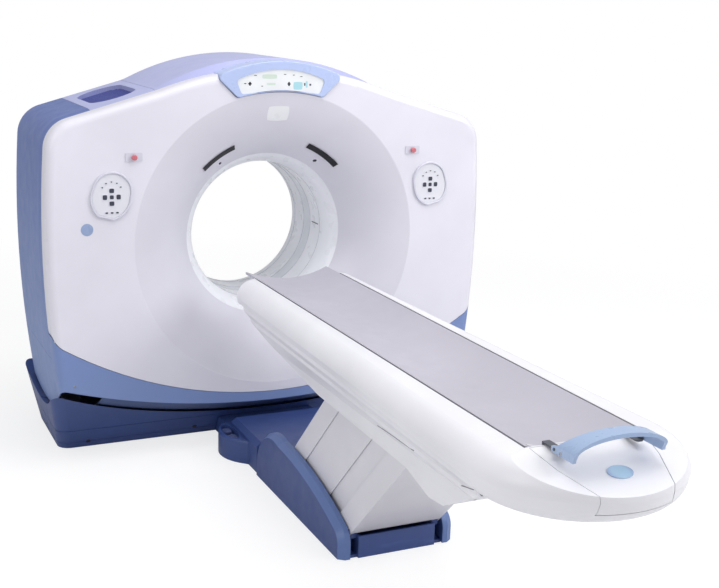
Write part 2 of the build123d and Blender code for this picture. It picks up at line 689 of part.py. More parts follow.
def pedal_pod():
    """The right foot control's body, with a sunk oval floor that holds two pedals."""
    plan = make_face([
        Polyline((POD_X0, POD_Y1), (POD_X0, POD_Y0), (POD_X0 + 42, POD_Y0 - 12)),
        ThreePointArc(
            (POD_X0 + 42, POD_Y0 - 12), (POD_X1, POD_Y0 - 120), (POD_X0 + 30, POD_Y1 + 30)
        ),
        Line((POD_X0 + 30, POD_Y1 + 30), (POD_X0, POD_Y1)),
    ])
    body = extrude(Plane.XY.offset(BASE_LIFT) * plan, POD_H)
    top = [e for e in body.edges() if e.center().Z > POD_H - 1 and e.center().X > POD_X0 + 1]
    body = fillet(top, 10)
    well = extrude(Pos(POD_X0 + 36, POD_MID_Y, POD_H) * Ellipse(32, 100), 60, both=True)
    floor_z = POD_H - 26
    body -= well & box(0, 999, -999, 0, floor_z, 400)
    for y in (POD_MID_Y + PEDAL_Y, POD_MID_Y - PEDAL_Y):
        for end in (-PEDAL_PIN, PEDAL_PIN - 6):
            x = POD_X0 + PEDAL_AXIS
            body += box(x - 9, x + 9, y + end, y + end + 6, floor_z - 1, PEDAL_Z - 3)
        body -= rod((x, y - PEDAL_PIN - 1, PEDAL_Z - 2), (0, 1, 0), 5 + FIT, 2 * PEDAL_PIN + 2)
    return body

def pedal(k):
    """One pedal in the right pod, hinged at its inner end."""
    y = POD_MID_Y + (PEDAL_Y if k == 0 else -PEDAL_Y)
    plate = box(POD_X0 + 17, POD_X0 + 55, y - 28, y + 28, PEDAL_Z, PEDAL_Z + 7)
    plate = fillet(plate.edges().filter_by(Axis.Z), 12)
    for n in range(3):
        x = POD_X0 + 26 + n * 10
        plate += box(x - 2, x + 2, y - 20, y + 20, PEDAL_Z + 6, PEDAL_Z + 9)
    stem = rod((POD_X0 + PEDAL_AXIS, y - PEDAL_PIN, PEDAL_Z - 2), (0, 1, 0), 5, 2 * PEDAL_PIN)
    return plate + stem

def table_tray():
    """The steel tray on the floor that carries the lift's pivots."""
    head = NECK_END_Y - SEAT
    body = box(-TRAY_X, TRAY_X, BASE_FOOT_Y, head, 0, TRAY_Z)
    body -= box(-TRAY_X + 10, TRAY_X - 10, BASE_FOOT_Y + 10, head - 10, 12, TRAY_Z + 1)
    body += box(-TRAY_WING_X, TRAY_WING_X, BASE_FOOT_Y + 12, head - 20, 0, 12)
    rib = box(-TRAY_X + 5, TRAY_X - 5, -6, 6, 8, TRAY_Z - 12)
    for y in (LEG_HEAD_Y + 90, LEG_FOOT_Y - 90):
        body += Pos(0, y, 0) * rib
    for y in (LEG_HEAD_Y, LEG_FOOT_Y):
        for x in (-LEG_X, LEG_X):
            for dx in (-EAR_IN - EAR_T / 2, EAR_IN + EAR_T / 2):
                ear = box(x + dx - EAR_T / 2, x + dx + EAR_T / 2, y - 34, y + 34, 8, PIVOT_Z)
                ear += rod((x + dx - EAR_T / 2, y, PIVOT_Z), (1, 0, 0), 34, EAR_T)
                body += ear
            body -= rod((x - 40, y, PIVOT_Z), (1, 0, 0), PIN_R, 80)
    for x in (-TABLE_BOLT_X, TABLE_BOLT_X):
        for y in (TABLE_BOLT_Y0, TABLE_BOLT_Y1):
            body -= Pos(x, y, 6) * Cylinder(ANCHOR_R, 14)
    for y, x in zip(SLAT_PIVOTS, SLAT_PLACES):
        lug = box(TRAY_X - 5, x - SLAT_T - 0.5, y - 6, y + 6, TRAY_Z - 16, PIVOT_Z)
        lug += rod((TRAY_X - 5, y, PIVOT_Z), (1, 0, 0), 9, x - SLAT_T - 0.5 - TRAY_X + 5)
        lug += rod((x - SLAT_T - 1, y, PIVOT_Z), (1, 0, 0), SLAT_PIN_R, SLAT_T + 1)
        body += lug + other_side(lug)
    return body

def pontoon():
    """The right stabiliser along the tray, humped near the gantry and bevelled outside."""
    profile = make_face([
        Line((PONTOON_Y1, BASE_LIFT), (PONTOON_Y0, BASE_LIFT)),
        Line((PONTOON_Y0, BASE_LIFT), (PONTOON_Y0 - 8, 100)),
        ThreePointArc((PONTOON_Y0 - 8, 100), (PONTOON_Y0 - 100, 224), (PONTOON_Y0 - 290, 256)),
        ThreePointArc((PONTOON_Y0 - 290, 256), (-1560, 208), (PONTOON_Y1 + 50, 132)),
        ThreePointArc((PONTOON_Y1 + 50, 132), (PONTOON_Y1 + 8, 96), (PONTOON_Y1, 50)),
        Line((PONTOON_Y1, 50), (PONTOON_Y1, BASE_LIFT)),
    ])
    body = side_slab(profile, PONTOON_IN, PONTOON_OUT)
    outer = [
        e for e in body.edges()
        if abs(e.center().X - PONTOON_OUT) < 0.1 and e.center().Z > BASE_LIFT + 1
    ]
    return chamfer(outer, PONTOON_EDGE, PONTOON_EDGE - 6)

def lift_leg(y, top_fit):
    """One lift leg: two drilled side plates joined by cross tubes."""
    plane = Plane(
        origin=(0, y, PIVOT_Z),
        x_dir=(0, -cos(radians(LEAN)), sin(radians(LEAN))),
        z_dir=(1, 0, 0),
    )
    bar = Pos(LEG_L / 2, 0) * SlotCenterToCenter(LEG_L, LEG_W)
    bar -= Circle(PIN_R + FIT)
    bar -= Pos(LEG_L, 0) * Circle(PIN_R + top_fit)
    for k in (0.3, 0.7):
        bar -= Pos(LEG_L * k, 0) * SlotCenterToCenter(60, 34)
    leg = None
    for x in (-LEG_X, LEG_X):
        plate = extrude(plane.offset(x - LEG_T / 2) * bar, LEG_T)
        leg = plate if leg is None else leg + plate
    for k in (0.14, 0.5, 0.86):
        tube = extrude(plane.offset(-LEG_X) * (Pos(LEG_L * k, 0) * Circle(TUBE_R)), 2 * LEG_X)
        tube -= extrude(plane.offset(-LEG_X) * (Pos(LEG_L * k, 0) * Circle(TUBE_R - 4)), 2 * LEG_X)
        leg += tube
    return leg

def lift_pins(z, shift):
    """The four pins of the legs at their lower or upper ends."""
    pins = []
    for y in (LEG_HEAD_Y, LEG_FOOT_Y):
        for x in (-LEG_X, LEG_X):
            start = x - EAR_IN - EAR_T - 4
            pin = rod((start, y + shift, z), (1, 0, 0), PIN_R, 2 * (EAR_IN + EAR_T) + 8)
            head = rod((start - 5, y + shift, z), (1, 0, 0), PIN_R + 4, 5)
            pins.append(pin + head)
    return Compound(children=pins)

def slat_face(head, foot, pivot, limit):
    """Side outline of one pedestal slat, its lower edge clear of the tray when it swings."""
    low = SLAT_LOW_Z + max(head - pivot, 0) * tan(radians(RAISE_DEG))
    foot_low = SLAT_LOW_Z + (pivot - foot) * tan(radians(LOWER_DEG))

    def on_edge(y, z):
        return (y - (z - PIVOT_Z), z)

    corners = [on_edge(foot, foot_low), on_edge(foot, SLAT_TOP_Z), on_edge(head, SLAT_TOP_Z)]
    if on_edge(head, low)[0] > NECK_END_Y - 4:
        return polygon([(head, SLAT_NOSE_Z), *corners, (head, PIVOT_Z)])
    if on_edge(head, low)[0] > limit:
        return polygon([(limit, low), *corners, (limit, PIVOT_Z + head - limit)])
    return polygon([on_edge(head, low), *corners])

def slat(index, side):
    """One pedestal slat's side plate, drilled for its pin."""
    head, foot = SLAT_EDGES[index]
    pivot = SLAT_PIVOTS[index]
    x = SLAT_PLACES[index]
    limit = 0
    if index and x < SLAT_PLACES[index - 1]:
        limit = SLAT_PIVOTS[index - 1] - SLAT_TIP_GAP
    plate = side_slab(slat_face(head, foot, pivot, limit), x - SLAT_T, x)
    plate -= rod((x - SLAT_T - 1, pivot, PIVOT_Z), (1, 0, 0), SLAT_PIN_R + FIT, SLAT_T + 2)
    return plate if side > 0 else other_side(plate)

def end_slat(index):
    """The slat at the head or the foot: two side plates and the leaning panel between them."""
    head, foot = SLAT_EDGES[index]
    x = SLAT_PLACES[index]
    edge = head if index == 0 else foot
    inward = -SLAT_T * 1.4142 if index == 0 else SLAT_T * 1.4142
    low = PANEL_LOW_Z

    def on_edge(y, z):
        return (y - (z - PIVOT_Z), z)

    face = polygon([
        on_edge(edge, low), on_edge(edge + inward, low), on_edge(edge + inward, SLAT_TOP_Z),
        on_edge(edge, SLAT_TOP_Z),
    ])
    return slat(index, 1) + slat(index, -1) + side_slab(face, -x + 1, x - 1)

def table_section(half, inset):
    """Cross-section of the table's covers: a rounded shoulder, two flutes and a narrow keel."""
    h = half - inset
    top = TABLE_TOP - inset
    low = TABLE_TOP + inset
    flat, waist, edge = (h - 66, top - 5), (h, top - 84), (h - 5, low - 108 - inset / 2)
    keel = KEEL_HALF - inset
    lower = [
        (h - 24, low - 124), (h - 22, low - 140), (h - 44, low - 172),
        (h - 43, low - 186), (keel + 6, KEEL_LOW + 150), (keel, KEEL_LOW + 100), (keel, KEEL_LOW),
    ]

    def left(p):
        return (-p[0], p[1])

    start = (SIDE_IN, top)
    face = make_face([
        Polyline(left(flat), left(start), start, flat),
        ThreePointArc(flat, (h - 17, top - 34), waist),
        Polyline(waist, edge, *lower),
        Line(lower[-1], left(lower[-1])),
        Polyline(*[left(p) for p in reversed(lower)], left(edge), left(waist)),
        ThreePointArc(left(waist), (17 - h, top - 34), left(flat)),
    ])
    return face

def table_end_profile(inset):
    """Half profile of the round foot end, as distance from its centre and height."""
    h = END_HALF - inset
    top = TABLE_TOP - inset
    edge = TABLE_TOP - 108 + inset / 2
    flat, waist, turn = (h - 66, top - 5), (h, top - 84), (h - 5, edge)
    low = END_LOW + inset
    return make_face([
        Polyline((0, top), (SIDE_IN, top), flat),
        ThreePointArc(flat, (h - 17, top - 34), waist),
        Line(waist, turn),
        ThreePointArc(turn, (h - 24, (turn[1] + low) / 2 - 4), (h - 74, low)),
        Line((h - 74, low), (0, low)),
        Line((0, low), (0, top)),
    ])

def table_block(inset):
    """All covers of the table top as one solid."""
    head = front_plane(NOSE_Y - inset) * table_section(NOSE_HALF, inset)
    foot = front_plane(END_Y) * table_section(END_HALF, inset)
    block = loft([head.faces()[0], foot.faces()[0]], ruled=True)
    plane = Plane(origin=(0, END_Y, 0), x_dir=(0, -1, 0), z_dir=(-1, 0, 0))
    end = revolve(plane * table_end_profile(inset), Axis((0, END_Y, 0), (0, 0, 1)), 360)
    block += end & box(-500, 500, END_Y - 500, END_Y, 0, 1200)
    top = TABLE_TOP + 1 - (inset and inset + 1)
    low = [
        (NOSE_Y + 1, 106), (NOSE_Y - 80, 182), (-1070, 243), (-1400, 286), (-1560, 304),
        (-2350, 320), (-2520, 362), (-2620, 352), (END_Y + 216, 276), (END_Y + 26, 170),
        (END_Y - 124, 168), (-PANEL_FAR, 168),
    ]
    side = polygon([
        (NOSE_Y + 1, top), *[(y, TABLE_TOP - drop + inset) for y, drop in low],
        (-PANEL_FAR, SLOPE_Z1 - inset), (SLOPE_Y, top),
    ])
    return block & side_slab(side, -500, 500)

def table_covers():
    """The table's white covers: two sides, nose, underside, foot and foot panel."""
    shell = table_block(0) - table_block(WALL)
    far = 600
    channel = box(-SIDE_IN, SIDE_IN, CRADLE_FOOT - 10, NOSE_Y + 60, DECK_Z - 1, TABLE_TOP + 60)
    shell -= channel
    side = shell & box(SIDE_IN, far, END_Y + SEAT / 2, NOSE_JOINT - SEAT / 2, 0, far * 2)
    nose = shell & box(-far, far, NOSE_JOINT + SEAT / 2, 0, 0, far * 2)
    under = shell & box(
        -SIDE_IN + SEAT, SIDE_IN - SEAT, END_Y + SEAT / 2, NOSE_JOINT - SEAT / 2, 0, DECK_Z
    )
    under -= box(-OPEN_X, OPEN_X, OPEN_FOOT, OPEN_HEAD, 0, DECK_Z)
    foot = shell & box(-far, far, END_Y - far, END_Y - SEAT / 2, 0, far * 2)
    plan = make_face([
        Polyline((-PANEL_X0, PANEL_Y0), (PANEL_X0, PANEL_Y0), (PANEL_X1, PANEL_Y1)),
        Polyline(
            (PANEL_X1, PANEL_Y1), (PANEL_X2, END_Y - END_HALF - 20),
            (-PANEL_X2, END_Y - END_HALF - 20), (-PANEL_X1, PANEL_Y1), (-PANEL_X0, PANEL_Y0),
        ),
    ])
    hole = extrude(Plane.XY.offset(PANEL_LOW) * offset(plan, SEAM), 400)
    panel = foot & extrude(Plane.XY.offset(PANEL_LOW + SEAM) * plan, 400)
    return side, nose, under, foot - hole, panel

def table_chassis():
    """The table's steel frame: two rails, cross members and the hangers of the legs."""
    frame = None
    for x in (-RAIL_X, RAIL_X):
        rail = box(x - 22, x + 22, RAIL_FOOT, RAIL_HEAD, CHASSIS_Z, DECK_Z - 0.3)
        rail -= box(x - 18, x + 18, RAIL_FOOT - 1, RAIL_HEAD + 1, CHASSIS_Z + 4, DECK_Z - 4.3)
        frame = rail if frame is None else frame + rail
    for y in (RAIL_HEAD - 20, -1400, -1882, -2300, RAIL_FOOT + 20):
        frame += box(-RAIL_X + 20, RAIL_X - 20, y - 18, y + 18, CHASSIS_Z + 6, DECK_Z - 30)
    shift = -LEG_L * cos(radians(LEAN))
    top_z = PIVOT_Z + LEG_L * sin(radians(LEAN))
    for y in (LEG_HEAD_Y + shift, LEG_FOOT_Y + shift):
        for x in (-LEG_X, LEG_X):
            for dx in (-EAR_IN - EAR_T / 2, EAR_IN + EAR_T / 2):
                x0 = x + dx - EAR_T / 2
                ear = side_slab(polygon([
                    (y - 34, top_z), (y + 34, top_z), (y + 60, CHASSIS_Z + 2), (y - 60, CHASSIS_Z + 2),
                ]), x0, x0 + EAR_T)
                ear += rod((x0, y, top_z), (1, 0, 0), 34, EAR_T)
                frame += ear
            frame += box(x - 26, x + 26, y - 62, y + 62, CHASSIS_Z - 2, CHASSIS_Z + 6)
            frame -= rod((x - 40, y, top_z), (1, 0, 0), PIN_R, 80)
    return frame

def deck_pan():
    """The pan between the side covers, with two raised tracks that carry the cradle."""
    x = SIDE_IN - SEAT
    foot = CRADLE_FOOT - 9.5
    head = NOSE_Y - WALL - 2
    pan = box(-x, x, foot, head, DECK_Z, DECK_Z + DECK_T)
    pan += box(-x, x, foot, foot + 2, DECK_Z, TABLE_TOP - 18)
    pan += box(-100, 100, PANEL_Y0 - 8, foot + 2, TABLE_TOP - 60, TABLE_TOP - 8.7)
    wall = box(x - 3, x, foot, head, DECK_Z, TABLE_TOP - 2)
    track = box(STRIP_X - 12, STRIP_X + 12, CRADLE_FOOT + 20, head, DECK_Z + DECK_T - 1, STRIP_Z)
    groove = box(STRIP_X - 7, STRIP_X + 7, CRADLE_FOOT + 19, head + 1, STRIP_Z - 3, STRIP_Z + 1)
    edge = wall + (track - groove)
    slot = box(-24, 24, DRIVE_Y - 36, DRIVE_Y + 36, DECK_Z - 1, DECK_Z + DECK_T + 1)
    return pan + edge + other_side(edge) - slot

def cradle():
    """The patient cradle, a long shallow trough with a hollowed head end."""
    top = TABLE_TOP
    low = top - CRADLE_EDGE_T
    face = make_face([
        ThreePointArc((-CRADLE_HALF, top), (0, top - CRADLE_SAG), (CRADLE_HALF, top)),
        Line((CRADLE_HALF, top), (CRADLE_HALF, low)),
        ThreePointArc(
            (CRADLE_HALF, low), (0, top - CRADLE_SAG - CRADLE_MID_T), (-CRADLE_HALF, low)
        ),
        Line((-CRADLE_HALF, low), (-CRADLE_HALF, top)),
    ])
    body = slab(face, CRADLE_FOOT, CRADLE_HEAD)
    for side in (-1, 1):
        x = side * STRIP_X
        runner = box(x - 6, x + 6, CRADLE_FOOT + 6, CRADLE_HEAD - 40, STRIP_Z - 2.7, STRIP_Z + 30)
        body += runner - slab(face_above(), CRADLE_FOOT - 1, CRADLE_HEAD + 1)
    scoop = Pos(0, CRADLE_HEAD + HEAD_SCOOP_R - HEAD_SCOOP, 0) * Cylinder(HEAD_SCOOP_R, 4000)
    return body - scoop

def face_above():
    """Everything over the cradle's underside, to trim its runners."""
    top = TABLE_TOP
    return make_face([
        ThreePointArc(
            (-CRADLE_HALF, top - 3), (0, top - CRADLE_SAG - 8), (CRADLE_HALF, top - 3)
        ),
        Polyline((CRADLE_HALF, top - 3), (CRADLE_HALF, 1200), (-CRADLE_HALF, 1200),
                 (-CRADLE_HALF, top - 3)),
    ])

def cradle_bracket():
    """The right bracket at the cradle's foot, with the pin of one end of the handle."""
    foot = CRADLE_FOOT - SEAT
    top = HANDLE_LOW + 5
    arm = box(BRACKET_X0, BRACKET_X1, HANDLE_Y - 14, foot, HANDLE_LOW, top)
    arm = fillet(arm.edges().filter_by(Axis.Z).sort_by(Axis.Y)[:2], 9)
    arm += box(BRACKET_X0, BRACKET_X1, foot - 6, foot, HANDLE_LOW - 32, top)
    ear = box(BRACKET_X1 - 8, BRACKET_X1, HANDLE_Y - 9, HANDLE_Y + 9, top - 1, HANDLE_Z)
    ear += rod((BRACKET_X1 - 8, HANDLE_Y, HANDLE_Z), (1, 0, 0), 9, 8)
    pin = rod((BRACKET_X1 - 9, HANDLE_Y, HANDLE_Z), (1, 0, 0), HANDLE_PIN_R, HANDLE_X - BRACKET_X1 + 11)
    return arm + ear + pin

def handle_bow(x, rise):
    """The handle's arch seen from the foot: two straight legs under half an ellipse."""
    top = HANDLE_LOW + HANDLE_LEG
    oval = Pos(0, top) * Ellipse(x, rise - HANDLE_LEG)
    arch = oval & (Pos(0, top + rise) * Rectangle(2 * x + 2, 2 * rise))
    return arch + Pos(0, HANDLE_LOW + HANDLE_LEG / 2) * Rectangle(2 * x, HANDLE_LEG)

def handle():
    """The blue release handle, a broad strap bent over the foot of the cradle, on two pins."""
    arch = handle_bow(HANDLE_X, HANDLE_RISE) - handle_bow(HANDLE_X - HANDLE_T, HANDLE_RISE - HANDLE_T)
    strap = slab(arch, HANDLE_END - 30, HANDLE_Y + 16)
    crest = HANDLE_LOW + HANDLE_RISE
    side = make_face([
        Polyline(
            (HANDLE_Y + 15, HANDLE_Z + 6), (HANDLE_Y + 15, HANDLE_LOW - 1),
            (HANDLE_END, HANDLE_LOW - 1), (HANDLE_END - 2, HANDLE_LOW + 10),
        ),
        ThreePointArc(
            (HANDLE_END - 2, HANDLE_LOW + 10), (HANDLE_END - 12, HANDLE_LOW + 38),
            (HANDLE_END - 10, crest + 1),
        ),
        Line((HANDLE_END - 10, crest + 1), (HANDLE_Y - 44, crest + 1)),
        ThreePointArc(
            (HANDLE_Y - 44, crest + 1), (HANDLE_Y - 26, HANDLE_LOW + 38),
            (HANDLE_Y + 15, HANDLE_Z + 6),
        ),
    ])
    strap = strap & side_slab(side, -HANDLE_X - 1, HANDLE_X + 1)
    hole = rod((-HANDLE_X - 1, HANDLE_Y, HANDLE_Z), (1, 0, 0), HANDLE_PIN_R + FIT, 2 * HANDLE_X + 2)
    return strap - hole

def medallion():
    """The plain oval disc on the foot panel."""
    slope = (TABLE_TOP + 1 - SLOPE_Z1) / (SLOPE_Y + PANEL_FAR)
    z = TABLE_TOP + 1 - (SLOPE_Y - MEDAL_Y) * slope + SEAT
    plane = Plane(origin=(0, MEDAL_Y, z), x_dir=(1, 0, 0), z_dir=(0, -slope, 1))
    return extrude(plane * Ellipse(41, 31), MEDAL_T)

def cradle_drive():
    """The cradle drive's motor and gearbox under the deck, with the ears of its wheel."""
    top = DECK_Z - SEAT
    low = DECK_Z - 92
    body = box(-120, -30, DRIVE_Y - 45, DRIVE_Y + 45, low, top - 10)
    body = fillet(body.edges().filter_by(Axis.X), 10)
    body += rod((-40, DRIVE_Y, low + 26), (1, 0, 0), 26, 150)
    body += box(-127.7, 127.7, DRIVE_Y - 20, DRIVE_Y + 20, low - 6, low + 10)
    for x in (-22, 16):
        body += box(x, x + 6, DRIVE_Y - 14, DRIVE_Y + 14, low + 30, DRIVE_Z)
        body += rod((x, DRIVE_Y, DRIVE_Z), (1, 0, 0), 14, 6)
    return body - rod((-60, DRIVE_Y, DRIVE_Z), (1, 0, 0), 6 + FIT, 120)

def drive_wheel():
    """The grooved wheel that drives the cradle's underside, with its axle."""
    wheel = rod((-13, DRIVE_Y, DRIVE_Z), (1, 0, 0), DRIVE_WHEEL_R, 26)
    for x in (-8, 2):
        groove = rod((x, DRIVE_Y, DRIVE_Z), (1, 0, 0), DRIVE_WHEEL_R + 1, 6)
        wheel -= groove - rod((x - 1, DRIVE_Y, DRIVE_Z), (1, 0, 0), DRIVE_WHEEL_R - 3, 8)
    return wheel + rod((-23, DRIVE_Y, DRIVE_Z), (1, 0, 0), 6, 46)

def cover_frame():
    """The frame that carries the covers: two hoops, their ties and arms from the tilt frame."""
    outer = body_outline(0, WALL + SEAT)
    inner = body_outline(0, WALL + HOOP_T)
    far = HALF_W
    open_end = box(-far, far, -far, far, 0, LOWER_SEAM_Z - 60)
    hoop = (slab(outer, 0, HOOP_W) - slab(inner, -1, HOOP_W + 1)) - open_end
    frame = Pos(0, -HOOP_Y, 0) * hoop + Pos(0, HOOP_BACK_Y - HOOP_W, 0) * hoop
    band = slab(outer, HOOP_W - HOOP_Y, HOOP_BACK_Y - HOOP_W) - slab(inner, -HOOP_Y, HOOP_Y)
    z = ISO_H + 100
    for x0, x1, z0, z1 in ((980, 1040, SHOULDER_Z - 200, GANTRY_H), (1000, far, z, z + 70)):
        tie = band & box(x0, x1, -HOOP_Y, HOOP_Y, z0, z1)
        frame += tie + other_side(tie)
    frame += band & box(-40, 40, -HOOP_Y, HOOP_Y, SHOULDER_Z, GANTRY_H)
    y = FRAME_Y + FRAME_T + SEAT
    arm = box(ARM_OUT - 30, HALF_W - HOOP_T, y, y + 8, z, z + 70)
    return frame + arm + other_side(arm)

def blue_shell():
    """The blue covers in one piece, before they are cut apart."""
    return (cover_block(0) - cover_block(WALL)) & barrel(0)

def side_cover(blue):
    """The right side cover."""
    far = 2 * HALF_W
    return blue & box(VENT_OUT + SEAM / 2, far, -far, far, LOWER_SEAM_Z + SEAM / 2, far)

def vent_cover(blue):
    """The right roof cover, with a long oval well full of louvres."""
    far = HALF_W
    cover = blue & box(VENT_IN + SEAM / 2, VENT_OUT - SEAM / 2, -far, far, ISO_H, 2 * far)
    plan = Pos(VENT_X, VENT_Y) * Rot(0, 0, 90) * SlotOverall(VENT_L, VENT_W)
    well = extrude(Plane.XY.offset(ISO_H) * plan, far)
    rim = extrude(Plane.XY.offset(ISO_H) * offset(plan, WALL), far)
    depth = (cover_block(0) - cover_block(VENT_DEPTH)) & rim
    floor = (cover_block(VENT_DEPTH - WALL) - cover_block(VENT_DEPTH)) & rim
    pan = (depth - well) + floor
    slats = well & (cover_block(VENT_DEPTH / 2) - cover_block(VENT_DEPTH - 1))
    for k in range(VENT_BARS):
        y = VENT_Y + (k - (VENT_BARS - 1) / 2) * VENT_L / (VENT_BARS + 1)
        pan += slats & box(VENT_IN, VENT_OUT, y - 2, y + 2, ISO_H, 2 * far)
    return (cover - well) + pan

def top_cover(blue):
    """The roof cover over the middle."""
    half = VENT_IN - SEAM / 2
    return blue & box(-half, half, -HALF_W, HALF_W, ISO_H, 2 * HALF_W)

def egg(grow):
    """Outline of a control panel: round above, narrower and flatter below."""
    top = PANEL_H / 2 + grow
    side = PANEL_W / 2 + grow
    return make_face([
        ThreePointArc((-side, 10), (0, top), (side, 10)),
        ThreePointArc((side, 10), (side * 0.86, -top * 0.62), (side * 0.4, -top)),
        Line((side * 0.4, -top), (-side * 0.4, -top)),
        ThreePointArc((-side * 0.4, -top), (-side * 0.86, -top * 0.62), (-side, 10)),
    ])

def control_bezel():
    """The right control panel's raised rim and the plate of the stop button above it."""
    place = Pos(CONTROL_X, CONTROL_Z) * Rot(0, 0, PANEL_LEAN)
    front = -FACE_Y - PANEL_OUT
    rim = slab(place * egg(0), front, -FACE_Y - SEAT)
    rim -= slab(place * egg(-9), front - 1, -FACE_Y - 4)
    edges = [e for e in rim.edges() if abs(e.center().Y - front) < 0.1]
    rim = fillet(edges, 3)
    plate = Pos(STOP_X, STOP_Z) * fillet(Rectangle(STOP_W, STOP_H).vertices(), 6)
    label = slab(plate, -FACE_Y - STOP_T, -FACE_Y - SEAT)
    return rim, label - rod((STOP_X, -FACE_Y + 1, STOP_Z), (0, -1, 0), STOP_STEM_R + 1, 20)

def keypad():
    """The right panel's key sheet: a cross of large keys over a row and an arc of small ones."""
    place = Pos(CONTROL_X, CONTROL_Z)
    sheet = slab(place * Rot(0, 0, PANEL_LEAN) * egg(-10), -FACE_Y - 6, -FACE_Y - 4 - SEAT)
    spots = [(0, 22, 26, 24), (0, -36, 26, 24), (-31, -7, 24, 26), (31, -7, 24, 26), (0, -7, 22, 22)]
    spots += [(x, -78, 16, 11) for x in (-24, 0, 24)]
    spots += [(46 * cos(radians(a)), 20 + 42 * sin(radians(a)), 11, 9) for a in (25, 58, 90, 122, 155)]
    for x, z, w, h in spots:
        key = place * Pos(x, z) * fillet(Rectangle(w, h).vertices(), 3)
        sheet += slab(key, -FACE_Y - 8, -FACE_Y - 5)
    return sheet

def stop_button():
    """The right emergency button: a mushroom cap on its stem."""
    face = -FACE_Y - STOP_T
    cap = rod((STOP_X, face - STOP_TRAVEL - 2, STOP_Z), (0, -1, 0), STOP_CAP_R, 12)
    edge = [e for e in cap.edges() if e.center().Y < face - STOP_TRAVEL - 13]
    cap = fillet(edge, 5)
    return cap + rod((STOP_X, face - STOP_TRAVEL - 3, STOP_Z), (0, 1, 0), STOP_STEM_R, STOP_STEM_L)

def status_light():
    """The right curved dark lamp on the dish, over the bore's mouth."""
    points = ((RING_R, -FACE_Y), (DISH_R, -DISH_Y), (MOUTH_R, -MOUTH_Y))
    (cx, cy), r = circle_through(*points)
    side = 1 if hypot(MOUTH_R - cx, -FACE_Y - cy) > r else -1
    near = arc_band(*[
        (cx + (p[0] - cx) * (r + side * 4) / r, cy + (p[1] - cy) * (r + side * 4) / r) for p in points
    ], LIGHT_T)
    lens = turn_bore(near) & ring(LIGHT_R - LIGHT_W / 2, LIGHT_R + LIGHT_W / 2, -FACE_Y, -MOUTH_Y + 20)
    wedge = polygon([(0, ISO_H)] + [
        (2 * LIGHT_R * sin(radians(a)), ISO_H + 2 * LIGHT_R * cos(radians(a)))
        for a in (LIGHT_DEG - LIGHT_ARC / 2, LIGHT_DEG + LIGHT_ARC / 2)
    ])
    return lens & slab(wedge, -FACE_Y - 1, -MOUTH_Y + 30)

def mirrored(shape):
    """The mirror image from front to rear."""
    return shape.mirror(Plane.XZ)

def pair(shape):
    """A right-hand piece and its left-hand twin."""
    return Compound(children=[*shape.solids(), *other_side(shape).solids()])

def build_base():
    save(base_frame(), "base_frame")
    save(pair(tilt_bearing()), "tilt_bearings")
    save(tilt_drive(), "tilt_drive")
    front, rear = base_covers()
    save(Compound(children=[*front.solids(), *rear.solids()]), "base_covers")
    save(neck_cover(), "neck_cover")
    save(pair(pedal_pod()), "foot_controls")
    for k, name in enumerate(("up", "down")):
        save(pedal(k), f"pedal_right_{name}")
        save(other_side(pedal(k)), f"pedal_left_{name}")
    save(table_tray(), "table_tray")
    save(pair(pontoon()), "pontoons")

def build_rotor():
    save(tilt_frame(), "tilt_frame")
    save(outer_race(), "outer_race")
    save(inner_race(), "inner_race")
    save(rotor_drum(), "rotor_drum")
    save(on_rotor(xray_tube(), 0), "xray_tube")
    save(on_rotor(collimator(), 0), "collimator")
    save(detector(), "detector")
    tanks = [power_tank(*tank) for tank in POWER_TANKS]
    save(Compound(children=tanks), "power_tanks")
    save(slip_ring(), "slip_ring")
    save(brush_block(), "brush_block")

def build_covers():
    save(cover_frame(), "cover_frame")
    tray = face_block(0, 0) - face_block(WALL, 0)
    rear_tray = face_block(0, REAR_IN) - face_block(WALL, REAR_IN)
    front = face_cover(tray, 0) - slab(pod_outline(SEAM), -FACE_Y - 20, -SEAM_Y + 6)
    for x in (-STOP_X, STOP_X):
        front -= rod((x, -FACE_Y - 1, STOP_Z), (0, 1, 0), STOP_STEM_R + 2, 2 * WALL)
    save(front, "front_cover")
    save(mirrored(face_cover(rear_tray, REAR_IN)), "rear_cover")
    blue = blue_shell()
    low = lower_cover(tray, blue, 0)
    rear_low = mirrored(lower_cover(rear_tray, mirrored(blue), REAR_IN))
    save(Compound(children=[*low.solids(), *rear_low.solids()]), "lower_covers")
    save(pair(side_cover(blue)), "side_covers")
    save(pair(vent_cover(blue)), "vent_covers")
    save(top_cover(blue), "top_cover")
    save(belly_cover(), "belly_cover")
    save(display_housing(), "display_housing")
    save(display_window(), "display_window")
    liner = bore_liner()
    save(Compound(children=[liner, mirrored(liner)]), "bore_liners")
    save(scan_window(), "scan_window")
    rim, plate = control_bezel()
    save(pair(Compound(children=[rim, plate])), "control_bezels")
    save(pair(keypad()), "keypads")
    save(stop_button(), "stop_button_right")
    save(other_side(stop_button()), "stop_button_left")
    save(pair(status_light()), "status_lights")

